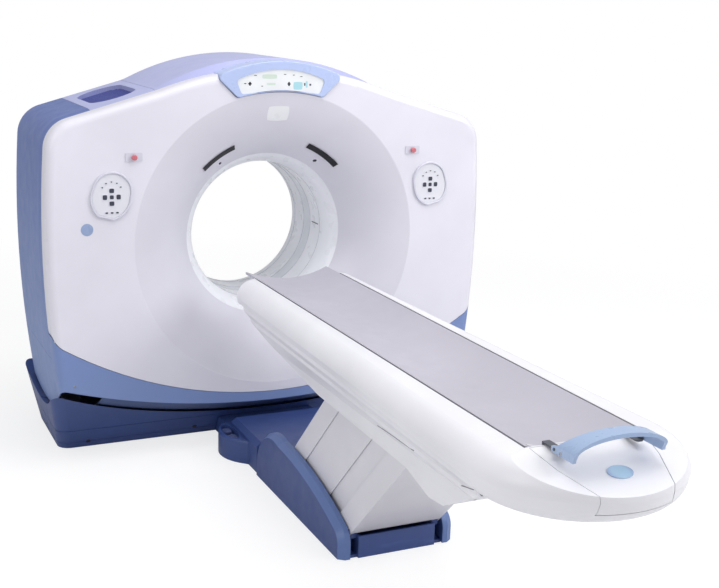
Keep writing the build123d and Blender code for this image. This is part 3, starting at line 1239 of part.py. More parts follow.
def build_table():
    save(lift_leg(LEG_HEAD_Y, FIT), "leg_head")
    save(lift_leg(LEG_FOOT_Y, LEG_PLAY), "leg_foot")
    save(end_slat(0), "slat_head")
    save(pair(slat(1, 1)), "slats_front")
    save(pair(slat(2, 1)), "slats_rear")
    save(end_slat(3), "slat_foot")
    save(lift_pins(PIVOT_Z, 0), "pivot_pins_lower")
    rise = LEG_L * sin(radians(LEAN))
    save(lift_pins(PIVOT_Z + rise, -LEG_L * cos(radians(LEAN))), "pivot_pins_upper")
    save(table_chassis(), "table_chassis")
    save(deck_pan(), "deck_pan")
    side, nose, under, foot, panel = table_covers()
    save(pair(side), "table_sides")
    save(nose, "table_nose")
    save(under, "table_underside")
    save(foot, "table_foot")
    save(panel, "foot_panel")
    save(medallion(), "foot_medallion")
    save(cradle(), "cradle")
    save(pair(cradle_bracket()), "cradle_brackets")
    save(handle(), "handle")
    save(cradle_drive(), "cradle_drive")
    save(drive_wheel(), "drive_wheel")

build_base()
build_rotor()
build_covers()
build_table()
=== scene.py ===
"""Finishes, small details and studio stage for a tomography scanner with a tilting ring gantry."""
from math import cos, hypot, pi, radians, sin, sqrt, tau

import bmesh
import bpy
from bpy.props import FloatProperty, FloatVectorProperty, PointerProperty
from mathutils import Matrix, Vector
from mathutils.bvhtree import BVHTree


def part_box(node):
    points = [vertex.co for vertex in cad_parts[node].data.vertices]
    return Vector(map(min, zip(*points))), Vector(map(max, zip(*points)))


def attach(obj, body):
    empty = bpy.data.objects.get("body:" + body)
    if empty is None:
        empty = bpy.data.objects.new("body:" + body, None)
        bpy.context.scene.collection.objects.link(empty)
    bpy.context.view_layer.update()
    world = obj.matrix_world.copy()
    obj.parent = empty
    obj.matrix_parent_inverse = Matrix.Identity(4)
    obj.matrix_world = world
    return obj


bl_info = {
    "name": "Tomography Scanner",
    "version": (1, 0, 0),
    "blender": (4, 5, 0),
    "location": "View3D > Sidebar > Scanner",
    "description": "Finishes and small details of a tilting scanner and its patient table",
    "category": "Object",
}

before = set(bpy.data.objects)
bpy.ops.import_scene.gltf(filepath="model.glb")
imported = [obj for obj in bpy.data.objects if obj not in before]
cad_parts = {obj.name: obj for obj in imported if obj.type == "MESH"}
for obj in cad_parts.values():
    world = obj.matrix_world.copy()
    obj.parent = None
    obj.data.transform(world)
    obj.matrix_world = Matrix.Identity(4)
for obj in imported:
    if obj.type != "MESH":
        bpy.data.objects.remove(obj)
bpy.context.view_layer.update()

# Sizes that the small details take from the gantry, in metres
AXIS_Z = 1.015  # height of the bore's axis
BORE_R = 0.350
FACE_Y = -0.500
DISH = ((0.708, -0.500), (0.478, -0.382), (0.400, -0.297))  # radius and Y of the dished ring
VENT_X, VENT_Y = 0.7235, -0.068  # middle of a vent's oval well
VENT_HALF_X, VENT_HALF_Y = 0.108, 0.230
KEYPAD_X, KEYPAD_Z = 0.808, 1.268  # middle of the right key sheet
CAMERA_PLACE = Vector((-2.033, -5.783, 2.126))
SENSOR = 36  # width of the camera's sensor in millimetres
KEY_PLACE, FILL_PLACE, TOP_PLACE = (4.2, -4.8, 4.0), (-4.8, -3.2, 3.0), (0.4, -1.8, 5.2)
KEY_WIDTH, FILL_WIDTH, TOP_WIDTH = 3.2, 3.0, 3.6
LAMP_TARGET = Vector((0, -0.8, 0.9))
FLOOR_HALF = 30
FLOOR_FADE = 2.6, 5.0  # distances between which the seen floor turns plain white
GASKET_SPOTS = (-0.172, -0.045, 0.045, 0.172)
GASKET_SIDES = 10
SENSOR_X, SENSOR_Z = 0.245, 1.3757
SLOT_Y, SLOT_Z = -0.108, 1.018  # middle of an aiming light's slot
# Painted shade: the dished ring is painted darker than the rest of the white cover, standing for the shade in
# its recess
DISH_PAINTED_SHADE = 0.91  # how much greyer the dished ring is


def tone(red, green, blue):
    """A linear colour from screen values of 0 to 255."""
    return tuple(((c / 255 + 0.055) / 1.055) ** 2.4 for c in (red, green, blue))


def colour(name, value, about):
    """A colour property with a default given in screen values."""
    return FloatVectorProperty(
        name=name, description=about, subtype="COLOR", size=3, min=0, max=1, default=tone(*value)
    )


def length(name, value, about):
    """A length property in metres."""
    return FloatProperty(name=name, description=about, default=value, min=0, unit="LENGTH")


class ScannerColours(bpy.types.PropertyGroup):
    """Colours of the scanner's finishes."""

    white: colour("White", (228, 226, 236), "Moulded front and rear covers")
    blue: colour("Blue", (106, 128, 182), "Side and lower covers")
    roof: colour("Roof", (178, 182, 226), "Top and vent covers")
    # vent: painted shade for the recessed well of the roof vents
    vent: colour("Vent", (92, 100, 168), "Well of the roof vents")
    navy: colour("Navy", (58, 78, 134), "Base covers and foot controls")
    # pontoon: painted light, a lighter copy of the navy for the rounded band of the pods
    pontoon: colour("Pontoon", (96, 120, 172), "Rounded band of the pedestal's side pods")
    housing: colour("Housing", (184, 199, 238), "Display housing")
    liner: colour("Liner", (240, 241, 246), "Bore liner")
    table: colour("Table", (238, 237, 242), "Covers of the table")
    slat: colour("Slats", (226, 224, 230), "Pedestal slats")
    cradle: colour("Cradle", (188, 185, 196), "Patient cradle")
    handle: colour("Handle", (164, 186, 220), "Release handle and medallion")
    mark: colour("Marks", (58, 62, 76), "Dark marks and key caps")


class ScannerSizes(bpy.types.PropertyGroup):
    """Sizes of the small details."""

    screw: length("Screw head", 0.0055, "Radius of a cover screw's head")
    gasket: length("Gasket", 0.0014, "Thickness of the gaskets beside the scan window")
    disc: length("Disc", 0.028, "Radius of the plain disc on the front cover")
    sensor: length("Sensor", 0.007, "Radius of the light sensors over the bore")
    # groove: radius of the dark beads that stand for painted shade in a side cover's groove and at the foot's
    # seam
    groove: length("Groove", 0.0018, "Radius of the bead in a cover's groove")
    grain: length("Grain", 0.0012, "Size of the moulded covers' fine grain")


class ScannerStage(bpy.types.PropertyGroup):
    """Camera and light of the stage."""

    focal: FloatProperty(name="Focal length", description="Lens in millimetres", default=59.71, min=10)
    yaw: FloatProperty(name="Yaw", description="Turn to the right", default=0.4372, unit="ROTATION")
    pitch: FloatProperty(name="Pitch", description="Tilt downwards", default=0.2369, unit="ROTATION")
    roll: FloatProperty(name="Roll", description="Roll of the view", default=0.0283, unit="ROTATION")
    key: FloatProperty(name="Key lamp", description="Power of the main lamp", default=150, min=0)
    fill: FloatProperty(name="Fill lamp", description="Power of the second lamp", default=46, min=0)
    top: FloatProperty(name="Top lamp", description="Power of the lamp overhead", default=90, min=0)
    sky: FloatProperty(name="Sky", description="Strength of the even light", default=0.58, min=0)


class Finish:
    """A procedural finish whose patterns read object coordinates."""

    def __init__(self, name, rough, metal=0.0, coat=0.0):
        self.material = bpy.data.materials.new(name)
        self.material.use_nodes = True
        self.tree = self.material.node_tree
        self.shader = self.tree.nodes["Principled BSDF"]
        self.shader.inputs["Metallic"].default_value = metal
        self.shader.inputs["Coat Weight"].default_value = coat
        self.shader.inputs["Coat Roughness"].default_value = 0.12
        self.rough = rough
        self.normal = None
        self.place = self.tree.nodes.new("ShaderNodeTexCoord").outputs["Object"]

    def put(self, kind, wires, **settings):
        """Add a node, with its inputs wired or set and its settings made."""
        node = self.tree.nodes.new(kind)
        for key, value in settings.items():
            setattr(node, key, value)
        for key, value in wires.items():
            if isinstance(value, bpy.types.NodeSocket):
                self.tree.links.new(value, node.inputs[key])
            else:
                node.inputs[key].default_value = value
        return node

    def moved(self, centre=(0, 0, 0), turn=(0, 0, 0), stretch=(1, 1, 1)):
        """Object coordinates about a centre, turned and stretched."""
        node = self.put("ShaderNodeMapping", {
            "Vector": self.place, "Location": centre, "Rotation": turn, "Scale": stretch,
        }, vector_type="TEXTURE")
        return node.outputs["Vector"]

    def noise(self, size, detail=2.0, where=None):
        """Noise with features of a given size in metres."""
        node = self.put("ShaderNodeTexNoise", {
            "Vector": where or self.place, "Scale": 1 / size, "Detail": detail,
        })
        return node.outputs["Fac"]

    def span(self, value, low, high, start, end):
        """A value between low and high spread over start to end, held at its ends."""
        node = self.put("ShaderNodeMapRange", {
            "Value": value, "From Min": low, "From Max": high, "To Min": start, "To Max": end,
        })
        return node.outputs["Result"]

    def maths(self, operation, a, b=0.0):
        """One sum."""
        return self.put("ShaderNodeMath", {0: a, 1: b}, operation=operation).outputs["Value"]

    def distance(self, a, b):
        """How far a point lies from the middle, from its two offsets."""
        squares = [self.maths("MULTIPLY", value, value) for value in (a, b)]
        return self.maths("SQRT", self.maths("ADD", *squares))

    def mix(self, factor, a, b):
        """A colour between two others."""
        one = (*a, 1) if isinstance(a, tuple) else a
        two = (*b, 1) if isinstance(b, tuple) else b
        node = self.put("ShaderNodeMix", {0: factor, 6: one, 7: two}, data_type="RGBA")
        return node.outputs[2]

    def axis(self, name, where=None):
        """One of the object's coordinates."""
        return self.put("ShaderNodeSeparateXYZ", {"Vector": where or self.place}).outputs[name]

    def facing(self, name):
        """One component of the surface's own direction."""
        normal = self.tree.nodes.new("ShaderNodeNewGeometry").outputs["True Normal"]
        return self.axis(name, normal)

    def raised(self, height, depth, strength=1.0):
        """Add a bump to those made so far."""
        wires = {"Height": height, "Distance": depth, "Strength": strength}
        if self.normal:
            wires["Normal"] = self.normal
        self.normal = self.put("ShaderNodeBump", wires).outputs["Normal"]

    def close(self, base, spread=0.05, patch=0.06):
        """Wire the colour, the uneven gloss and the bumps to the shader."""
        links = self.tree.links
        links.new(base, self.shader.inputs["Base Color"])
        gloss = self.span(self.noise(patch, 3), 0.3, 0.7, self.rough - spread, self.rough + spread)
        links.new(gloss, self.shader.inputs["Roughness"])
        if self.normal:
            links.new(self.normal, self.shader.inputs["Normal"])
        return self.material


def dimmed(value, by):
    """A colour made darker or lighter."""
    return tuple(min(1, c * by) for c in value)


def clouded(finish, base, by=0.035, size=0.35):
    """A colour that drifts a little over the surface, as sprayed paint does."""
    drift = finish.span(finish.noise(size, 3), 0.3, 0.7, 0, 1)
    return finish.mix(drift, dimmed(base, 1 - by), dimmed(base, 1 + by))


def moulded(name, base, rough=0.38, coat=0.15):
    """Painted moulded plastic with a fine grain."""
    finish = Finish(name, rough, coat=coat)
    grain = bpy.context.scene.scanner_sizes.grain
    finish.raised(finish.noise(grain, 1), 0.00012, 0.5)
    finish.raised(finish.noise(0.16, 2), 0.0006, 0.35)
    return finish.close(clouded(finish, base))


def metal(name, base, rough=0.34, along=(1, 12, 12)):
    """Metal with fine drawn lines along one axis."""
    finish = Finish(name, rough, metal=1.0)
    lines = finish.noise(0.02, 4, finish.moved(stretch=(1, 1 / along[1], 1 / along[2])))
    finish.raised(lines, 0.0001, 0.6)
    shade = finish.span(lines, 0.3, 0.7, 0, 1)
    return finish.close(finish.mix(shade, dimmed(base, 0.86), dimmed(base, 1.1)), 0.08, 0.02)


def cast(name, base, rough=0.5, metallic=0.6):
    """Cast or powder-coated metal with a pebbled skin."""
    finish = Finish(name, rough, metal=metallic)
    finish.raised(finish.noise(0.004, 2), 0.0005, 0.5)
    return finish.close(clouded(finish, base, 0.06, 0.12), 0.08)


def rubber(name, base, rough=0.72):
    """Rubber with a dry, dusty skin."""
    finish = Finish(name, rough)
    finish.raised(finish.noise(0.0025, 3), 0.0004, 0.6)
    return finish.close(clouded(finish, base, 0.16, 0.05), 0.08, 0.03)


def navy_paint(name, base):
    """Dark blue paint with a matt grain and faint scuffs low down."""
    finish = Finish(name, 0.42, coat=0.1)
    finish.raised(finish.noise(0.0014, 1), 0.00016, 0.6)
    finish.raised(finish.noise(0.2, 2), 0.0008, 0.3)
    streaks = finish.noise(0.03, 5, finish.moved(stretch=(6, 6, 1)))
    low = finish.span(finish.axis("Z"), 0.0, 0.12, 0.5, 0.0)
    scuff = finish.maths("MULTIPLY", finish.span(streaks, 0.58, 0.7, 0, 1), low)
    return finish.close(finish.mix(scuff, clouded(finish, base, 0.06), dimmed(base, 1.6)))


def dress(material, *names):
    """Give a finish to CAD nodes."""
    for name in names:
        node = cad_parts[name]
        node.data.materials.clear()
        node.data.materials.append(material)


def piece(name, mesh, material, body, sharp=40):
    """Make a mesh into a piece that rides on a body."""
    obj = bpy.data.objects.new(name, mesh)
    bpy.context.scene.collection.objects.link(obj)
    if material:
        mesh.materials.clear()
        mesh.materials.append(material)
    mesh.shade_smooth()
    mesh.set_sharp_from_angle(angle=radians(sharp))
    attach(obj, body)
    return obj


def shaped(name, build, material, body, sharp=40):
    """A piece whose mesh a function builds."""
    work = bmesh.new()
    build(work)
    bmesh.ops.recalc_face_normals(work, faces=work.faces)
    mesh = bpy.data.meshes.new(name)
    work.to_mesh(mesh)
    work.free()
    return piece(name, mesh, material, body, sharp)


def pad(work, half_w, half_h, square, place, height, dome=0.0, sink=0.0015, steps=10):
    """A closed pad on a surface: round where square is 0 and a soft-cornered rectangle at 1."""
    k = 1 - 0.8 * square
    grids = []
    for top in (1, 0):
        rows = []
        for i in range(steps + 1):
            row = []
            for j in range(steps + 1):
                p, q = 2 * i / steps - 1, 2 * j / steps - 1
                u = half_w * p * sqrt(1 - k * q * q / 2)
                v = half_h * q * sqrt(1 - k * p * p / 2)
                edge = max(abs(p), abs(q))
                rise = height + dome * (1 - edge * edge)
                row.append(work.verts.new(place(u, v, rise if top else -sink)))
            rows.append(row)
        grids.append(rows)
    over, under = grids
    for i in range(steps):
        for j in range(steps):
            for rows in grids:
                work.faces.new((rows[i][j], rows[i + 1][j], rows[i + 1][j + 1], rows[i][j + 1]))
    rim = [(i, 0) for i in range(steps)] + [(steps, j) for j in range(steps)]
    rim += [(i, steps) for i in range(steps, 0, -1)] + [(0, j) for j in range(steps, 0, -1)]
    for (i, j), (m, n) in zip(rim, rim[1:] + rim[:1]):
        work.faces.new((over[i][j], over[m][n], under[m][n], under[i][j]))


def upright(x, y, z, turn=0.0):
    """Places a detail on an upright face that looks towards the table."""
    c, s = cos(turn), sin(turn)
    return lambda u, v, t: Vector((x + c * u - s * v, y - t, z + s * u + c * v))


def circle_through(a, b, c):
    """Centre and radius of the circle through three points."""
    d = 2 * (a[0] * (b[1] - c[1]) + b[0] * (c[1] - a[1]) + c[0] * (a[1] - b[1]))
    sa, sb, sc = (p[0] ** 2 + p[1] ** 2 for p in (a, b, c))
    x = (sa * (b[1] - c[1]) + sb * (c[1] - a[1]) + sc * (a[1] - b[1])) / d
    y = (sa * (c[0] - b[0]) + sb * (a[0] - c[0]) + sc * (b[0] - a[0])) / d
    return (x, y), hypot(a[0] - x, a[1] - y)


SKINS = {}


def skin(node):
    """The surface of a CAD node, for placing a detail on it."""
    if node not in SKINS:
        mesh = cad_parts[node].data
        faces = [tuple(p.vertices) for p in mesh.polygons]
        SKINS[node] = BVHTree.FromPolygons([v.co.copy() for v in mesh.vertices], faces)
    return SKINS[node]


def on_skin(node, start, way):
    """Where a line from a point meets a CAD node, and the way the surface faces there."""
    way = Vector(way).normalized()
    spot, normal = skin(node).ray_cast(Vector(start), way)[:2]
    if spot is None:
        raise RuntimeError(f"nothing of {node} lies there: {start} {way}")
    return spot, normal if normal.dot(way) < 0 else -normal


def resting(node, start, way, up=(0, 0, 1)):
    """Places a detail flat on a CAD node, where a line meets it."""
    spot, normal = on_skin(node, start, way)
    right = Vector(up).cross(normal).normalized()
    rise = normal.cross(right)
    return lambda u, v, t: spot + right * u + rise * v + normal * t


def tube(name, points, radius, material, body, closed=False):
    """A bead of even thickness along a smooth path."""
    curve = bpy.data.curves.new(name, "CURVE")
    curve.dimensions = "3D"
    curve.bevel_depth = radius
    curve.bevel_resolution = 2
    curve.resolution_u = 4
    curve.use_fill_caps = True
    line = curve.splines.new("NURBS")
    line.points.add(len(points) - 1)
    for spot, point in zip(line.points, points):
        spot.co = (*point, 1)
    line.order_u = 3
    line.use_endpoint_u = not closed
    line.use_cyclic_u = closed
    carrier = bpy.data.objects.new(name, curve)
    bpy.context.scene.collection.objects.link(carrier)
    mesh = bpy.data.meshes.new_from_object(carrier.evaluated_get(bpy.context.evaluated_depsgraph_get()))
    bpy.data.objects.remove(carrier)
    work = bmesh.new()
    work.from_mesh(mesh)
    bmesh.ops.remove_doubles(work, verts=work.verts, dist=1e-6)
    bmesh.ops.recalc_face_normals(work, faces=work.faces)
    work.to_mesh(mesh)
    work.free()
    return piece(name, mesh, material, body, 60)


def scatter_tree(name):
    """Geometry Nodes: one shape set on every point, turned to face out and sized there."""
    tree = bpy.data.node_groups.new(name, "GeometryNodeTree")
    face = tree.interface
    face.new_socket(name="Geometry", in_out="INPUT", socket_type="NodeSocketGeometry")
    for label, kind in (("Shape", "Object"), ("Size", "Float"), ("Finish", "Material")):
        face.new_socket(name=label, in_out="INPUT", socket_type=f"NodeSocket{kind}")
    face.new_socket(name="Geometry", in_out="OUTPUT", socket_type="NodeSocketGeometry")
    nodes, links = tree.nodes, tree.links
    start, end = nodes.new("NodeGroupInput"), nodes.new("NodeGroupOutput")
    info = nodes.new("GeometryNodeObjectInfo")
    links.new(start.outputs["Shape"], info.inputs["Object"])
    spread = nodes.new("GeometryNodeInstanceOnPoints")
    links.new(start.outputs["Geometry"], spread.inputs["Points"])
    links.new(info.outputs["Geometry"], spread.inputs["Instance"])
    turn = nodes.new("GeometryNodeInputNamedAttribute")
    turn.data_type = "FLOAT_VECTOR"
    turn.inputs["Name"].default_value = "turn"
    links.new(turn.outputs["Attribute"], spread.inputs["Rotation"])
    size = nodes.new("GeometryNodeInputNamedAttribute")
    size.data_type = "FLOAT_VECTOR"
    size.inputs["Name"].default_value = "size"
    grow = nodes.new("ShaderNodeVectorMath")
    grow.operation = "SCALE"
    links.new(size.outputs["Attribute"], grow.inputs[0])
    links.new(start.outputs["Size"], grow.inputs["Scale"])
    links.new(grow.outputs["Vector"], spread.inputs["Scale"])
    real = nodes.new("GeometryNodeRealizeInstances")
    links.new(spread.outputs["Instances"], real.inputs["Geometry"])
    paint = nodes.new("GeometryNodeSetMaterial")
    links.new(real.outputs["Geometry"], paint.inputs["Geometry"])
    links.new(start.outputs["Finish"], paint.inputs["Material"])
    links.new(paint.outputs["Geometry"], end.inputs["Geometry"])
    return tree


def ring_tree(name):
    """Geometry Nodes: a round ring of oval section about the Y axis."""
    tree = bpy.data.node_groups.new(name, "GeometryNodeTree")
    face = tree.interface
    face.new_socket(name="Geometry", in_out="INPUT", socket_type="NodeSocketGeometry")
    sockets = ("Radius", "Float"), ("Thickness", "Float"), ("Sides", "Int"), ("Finish", "Material")
    for label, kind in sockets:
        face.new_socket(name=label, in_out="INPUT", socket_type=f"NodeSocket{kind}")
    face.new_socket(name="Geometry", in_out="OUTPUT", socket_type="NodeSocketGeometry")
    nodes, links = tree.nodes, tree.links
    start, end = nodes.new("NodeGroupInput"), nodes.new("NodeGroupOutput")
    path = nodes.new("GeometryNodeCurvePrimitiveCircle")
    links.new(start.outputs["Radius"], path.inputs["Radius"])
    path.inputs["Resolution"].default_value = 128
    band = nodes.new("GeometryNodeCurvePrimitiveCircle")
    links.new(start.outputs["Thickness"], band.inputs["Radius"])
    links.new(start.outputs["Sides"], band.inputs["Resolution"])
    swept = nodes.new("GeometryNodeCurveToMesh")
    links.new(path.outputs["Curve"], swept.inputs["Curve"])
    links.new(band.outputs["Curve"], swept.inputs["Profile Curve"])
    stand = nodes.new("GeometryNodeTransform")
    links.new(swept.outputs["Mesh"], stand.inputs["Geometry"])
    stand.inputs["Rotation"].default_value = (pi / 2, 0, 0)
    spread = nodes.new("GeometryNodeInstanceOnPoints")
    links.new(start.outputs["Geometry"], spread.inputs["Points"])
    links.new(stand.outputs["Geometry"], spread.inputs["Instance"])
    real = nodes.new("GeometryNodeRealizeInstances")
    links.new(spread.outputs["Instances"], real.inputs["Geometry"])
    paint = nodes.new("GeometryNodeSetMaterial")
    links.new(real.outputs["Geometry"], paint.inputs["Geometry"])
    links.new(start.outputs["Finish"], paint.inputs["Material"])
    links.new(paint.outputs["Geometry"], end.inputs["Geometry"])
    return tree


def grown(name, tree, spots, values, body, sharp=40):
    """Run a tree on points, each with a turn and a size, and keep the result as a plain mesh."""
    mesh = bpy.data.meshes.new(name)
    mesh.from_pydata([row[0] for row in spots], [], [])
    for label, column in (("turn", 1), ("size", 2)):
        data = mesh.attributes.new(label, "FLOAT_VECTOR", "POINT")
        for k, row in enumerate(spots):
            data.data[k].vector = row[column]
    carrier = bpy.data.objects.new(name, mesh)
    bpy.context.scene.collection.objects.link(carrier)
    modifier = carrier.modifiers.new(name, "NODES")
    modifier.node_group = tree
    for item in tree.interface.items_tree:
        if item.in_out == "INPUT" and item.name in values:
            modifier[item.identifier] = values[item.name]
    view = bpy.context.evaluated_depsgraph_get()
    made = bpy.data.meshes.new_from_object(carrier.evaluated_get(view), depsgraph=view)
    bpy.data.objects.remove(carrier)
    work = bmesh.new()
    work.from_mesh(made)
    bmesh.ops.recalc_face_normals(work, faces=work.faces)
    work.to_mesh(made)
    work.free()
    for attribute in [a.name for a in made.attributes if a.name in ("turn", "size")]:
        made.attributes.remove(made.attributes[attribute])
    return piece(name, made, None, body, sharp)


def unit_shape(name, build):
    """A hidden shape of unit size for a tree to repeat, removed when its pieces are made."""
    work = bmesh.new()
    build(work)
    bmesh.ops.recalc_face_normals(work, faces=work.faces)
    mesh = bpy.data.meshes.new(name)
    work.to_mesh(mesh)
    work.free()
    obj = bpy.data.objects.new(name, mesh)
    bpy.context.scene.collection.objects.link(obj)
    return obj


def screw_head(work):
    """A head with sloped edges and a six-sided recess, one unit in radius, on the XY plane."""
    rings = [(1.0, -0.3), (1.0, 0.12), (0.86, 0.36), (0.5, 0.5)]
    sides = 24
    loops = []
    for radius, z in rings:
        loops.append([
            work.verts.new((radius * cos(tau * k / sides), radius * sin(tau * k / sides), z))
            for k in range(sides)
        ])
    for radius, z in ((0.42, 0.5), (0.42, 0.16)):
        loop = []
        for k in range(sides):
            a = tau * k / sides
            hexed = radius * cos(pi / 6) / cos((a % (pi / 3)) - pi / 6)
            loop.append(work.verts.new((hexed * cos(a), hexed * sin(a), z)))
        loops.append(loop)
    for low, high in zip(loops, loops[1:]):
        for k in range(sides):
            work.faces.new((low[k], low[(k + 1) % sides], high[(k + 1) % sides], high[k]))
    work.faces.new(list(reversed(loops[0])))
    work.faces.new(loops[-1])


def key_cap(work):
    """A soft-cornered cap, one unit wide and high, that stands one unit off the XY plane."""
    pad(work, 0.5, 0.5, 0.7, lambda u, v, t: Vector((u, v, t)), 0.6, 0.4, 1.0, 6)


def dish_place(x, z):
    """Places a detail on the dished ring so that it follows the ring's curve."""
    (centre_r, centre_y), radius = circle_through(*DISH)
    side = 1 if DISH[1][1] > centre_y else -1

    def place(u, v, t):
        px, pz = x + u, z + v
        far = hypot(px, pz - AXIS_Z)
        across = far - centre_r
        along = side * sqrt(radius * radius - across * across)
        out_r, out_y = across / radius, along / radius
        if out_y > 0:
            out_r, out_y = -out_r, -out_y
        grow = (far + out_r * t) / far
        return Vector((px * grow, centre_y + along + out_y * t, AXIS_Z + (pz - AXIS_Z) * grow))

    return place


def aimed(spot, normal, size):
    """A row for the scatter tree: where a shape stands, its turn and its size."""
    turn = normal.to_track_quat("Z", "Y").to_euler()
    return tuple(spot), tuple(turn), tuple(size)


def screws(name, rows, material, body):
    """Screws set on CAD nodes, each where a line from a point meets its node."""
    head = unit_shape(name + "_shape", screw_head)
    spots = [aimed(*on_skin(node, start, way), (1, 1, 1)) for node, start, way in rows]
    size = bpy.context.scene.scanner_sizes.screw
    values = {"Shape": head, "Size": size, "Finish": material}
    made = grown(name, scatter_tree(name + "_tree"), spots, values, body, 30)
    bpy.data.objects.remove(head)
    return made


class SCANNER_OT_covers(bpy.types.Operator):
    """Finishes of the tilting covers, the plain disc and the cover screws"""

    bl_idname = "scanner.covers"
    bl_label = "Gantry covers"

    def execute(self, context):
        colours = context.scene.scanner_colours
        sizes = context.scene.scanner_sizes
        dress(self.white_finish(tuple(colours.white)), "front_cover", "rear_cover")
        dress(self.blue_light_and_shade_finish(tuple(colours.blue)), "side_covers", "lower_covers")
        roof = tuple(colours.roof)
        dress(moulded("roof blue", roof, 0.4), "top_cover")
        dress(self.vent_well_shade_finish(roof, tuple(colours.vent)), "vent_covers")
        dress(moulded("belly blue", dimmed(tuple(colours.blue), 0.55), 0.5), "belly_cover")
        dress(moulded("housing blue", tuple(colours.housing), 0.3, 0.3), "display_housing")

        grey_blue = moulded("disc blue", tone(150, 168, 206), 0.3, 0.3)
        shaped("cover_disc", lambda work: pad(
            work, sizes.disc, sizes.disc, 0.0, upright(-0.921, FACE_Y, 1.116), 0.0008, 0.0014, 0.001, 12
        ), grey_blue, "gantry", 60)
        caps = metal("cover screw steel", (0.42, 0.42, 0.45), 0.4)
        rows = [("lower_covers", (x, -1.2, 0.386), (0, 1, 0)) for x in (-0.995, 0.995)]
        rows += [("rear_cover", (x, 1.2, z), (0, -1, 0)) for x in (-1.026, 1.026) for z in (0.9, 1.2)]
        screws("cover_screws", rows, caps, "gantry")
        return {"FINISHED"}

    def white_finish(self, base):
        """White cover paint, darkened on the dished ring by painted shade."""
        finish = Finish("cover white", 0.36, coat=0.15)
        finish.raised(finish.noise(bpy.context.scene.scanner_sizes.grain, 1), 0.00012, 0.5)
        finish.raised(finish.noise(0.16, 2), 0.0006, 0.35)
        x, z = finish.axis("X"), finish.maths("SUBTRACT", finish.axis("Z"), AXIS_Z)
        far = finish.distance(x, z)
        inside = finish.span(far, DISH[0][0] - 0.006, DISH[0][0] + 0.001, 1, 0)
        # painted shade: a darker copy of the cover white for the dished ring
        ring = clouded(finish, dimmed(base, DISH_PAINTED_SHADE))
        return finish.close(finish.mix(inside, clouded(finish, base), ring))

    def blue_light_and_shade_finish(self, base):
        """Blue cover paint with painted light low down and painted shade that deepens it towards the roof."""
        finish = Finish("cover blue", 0.45)
        finish.raised(finish.noise(0.0012, 1), 0.00012, 0.5)
        finish.raised(finish.noise(0.2, 2), 0.0008, 0.35)
        # painted light and shade: by height, the blue is lighter low on the covers and darker towards the
        # roof
        high = finish.span(finish.axis("Z"), 0.35, 1.65, 0, 1)
        drift = clouded(finish, base)
        light = finish.mix(0.35, drift, tone(152, 172, 214))
        painted_shade_top = finish.mix(0.5, drift, tone(66, 84, 160))
        return finish.close(finish.mix(high, light, painted_shade_top))

    def vent_well_shade_finish(self, base, well):
        """Roof paint with painted shade: a darker oval well in each vent."""
        finish = Finish("vent blue", 0.42, coat=0.1)
        finish.raised(finish.noise(0.0012, 1), 0.00012, 0.5)
        # painted shade: an oval mask darkens the recessed well of each vent
        across = finish.maths("SUBTRACT", finish.maths("ABSOLUTE", finish.axis("X")), VENT_X)
        along = finish.maths("ABSOLUTE", finish.maths("SUBTRACT", finish.axis("Y"), VENT_Y))
        past = finish.maths("MAXIMUM", finish.maths("SUBTRACT", along, VENT_HALF_Y - VENT_HALF_X), 0)
        far = finish.distance(across, past)
        inside = finish.span(far, VENT_HALF_X - 0.001, VENT_HALF_X + 0.0005, 1, 0)
        return finish.close(finish.mix(inside, clouded(finish, base), well))


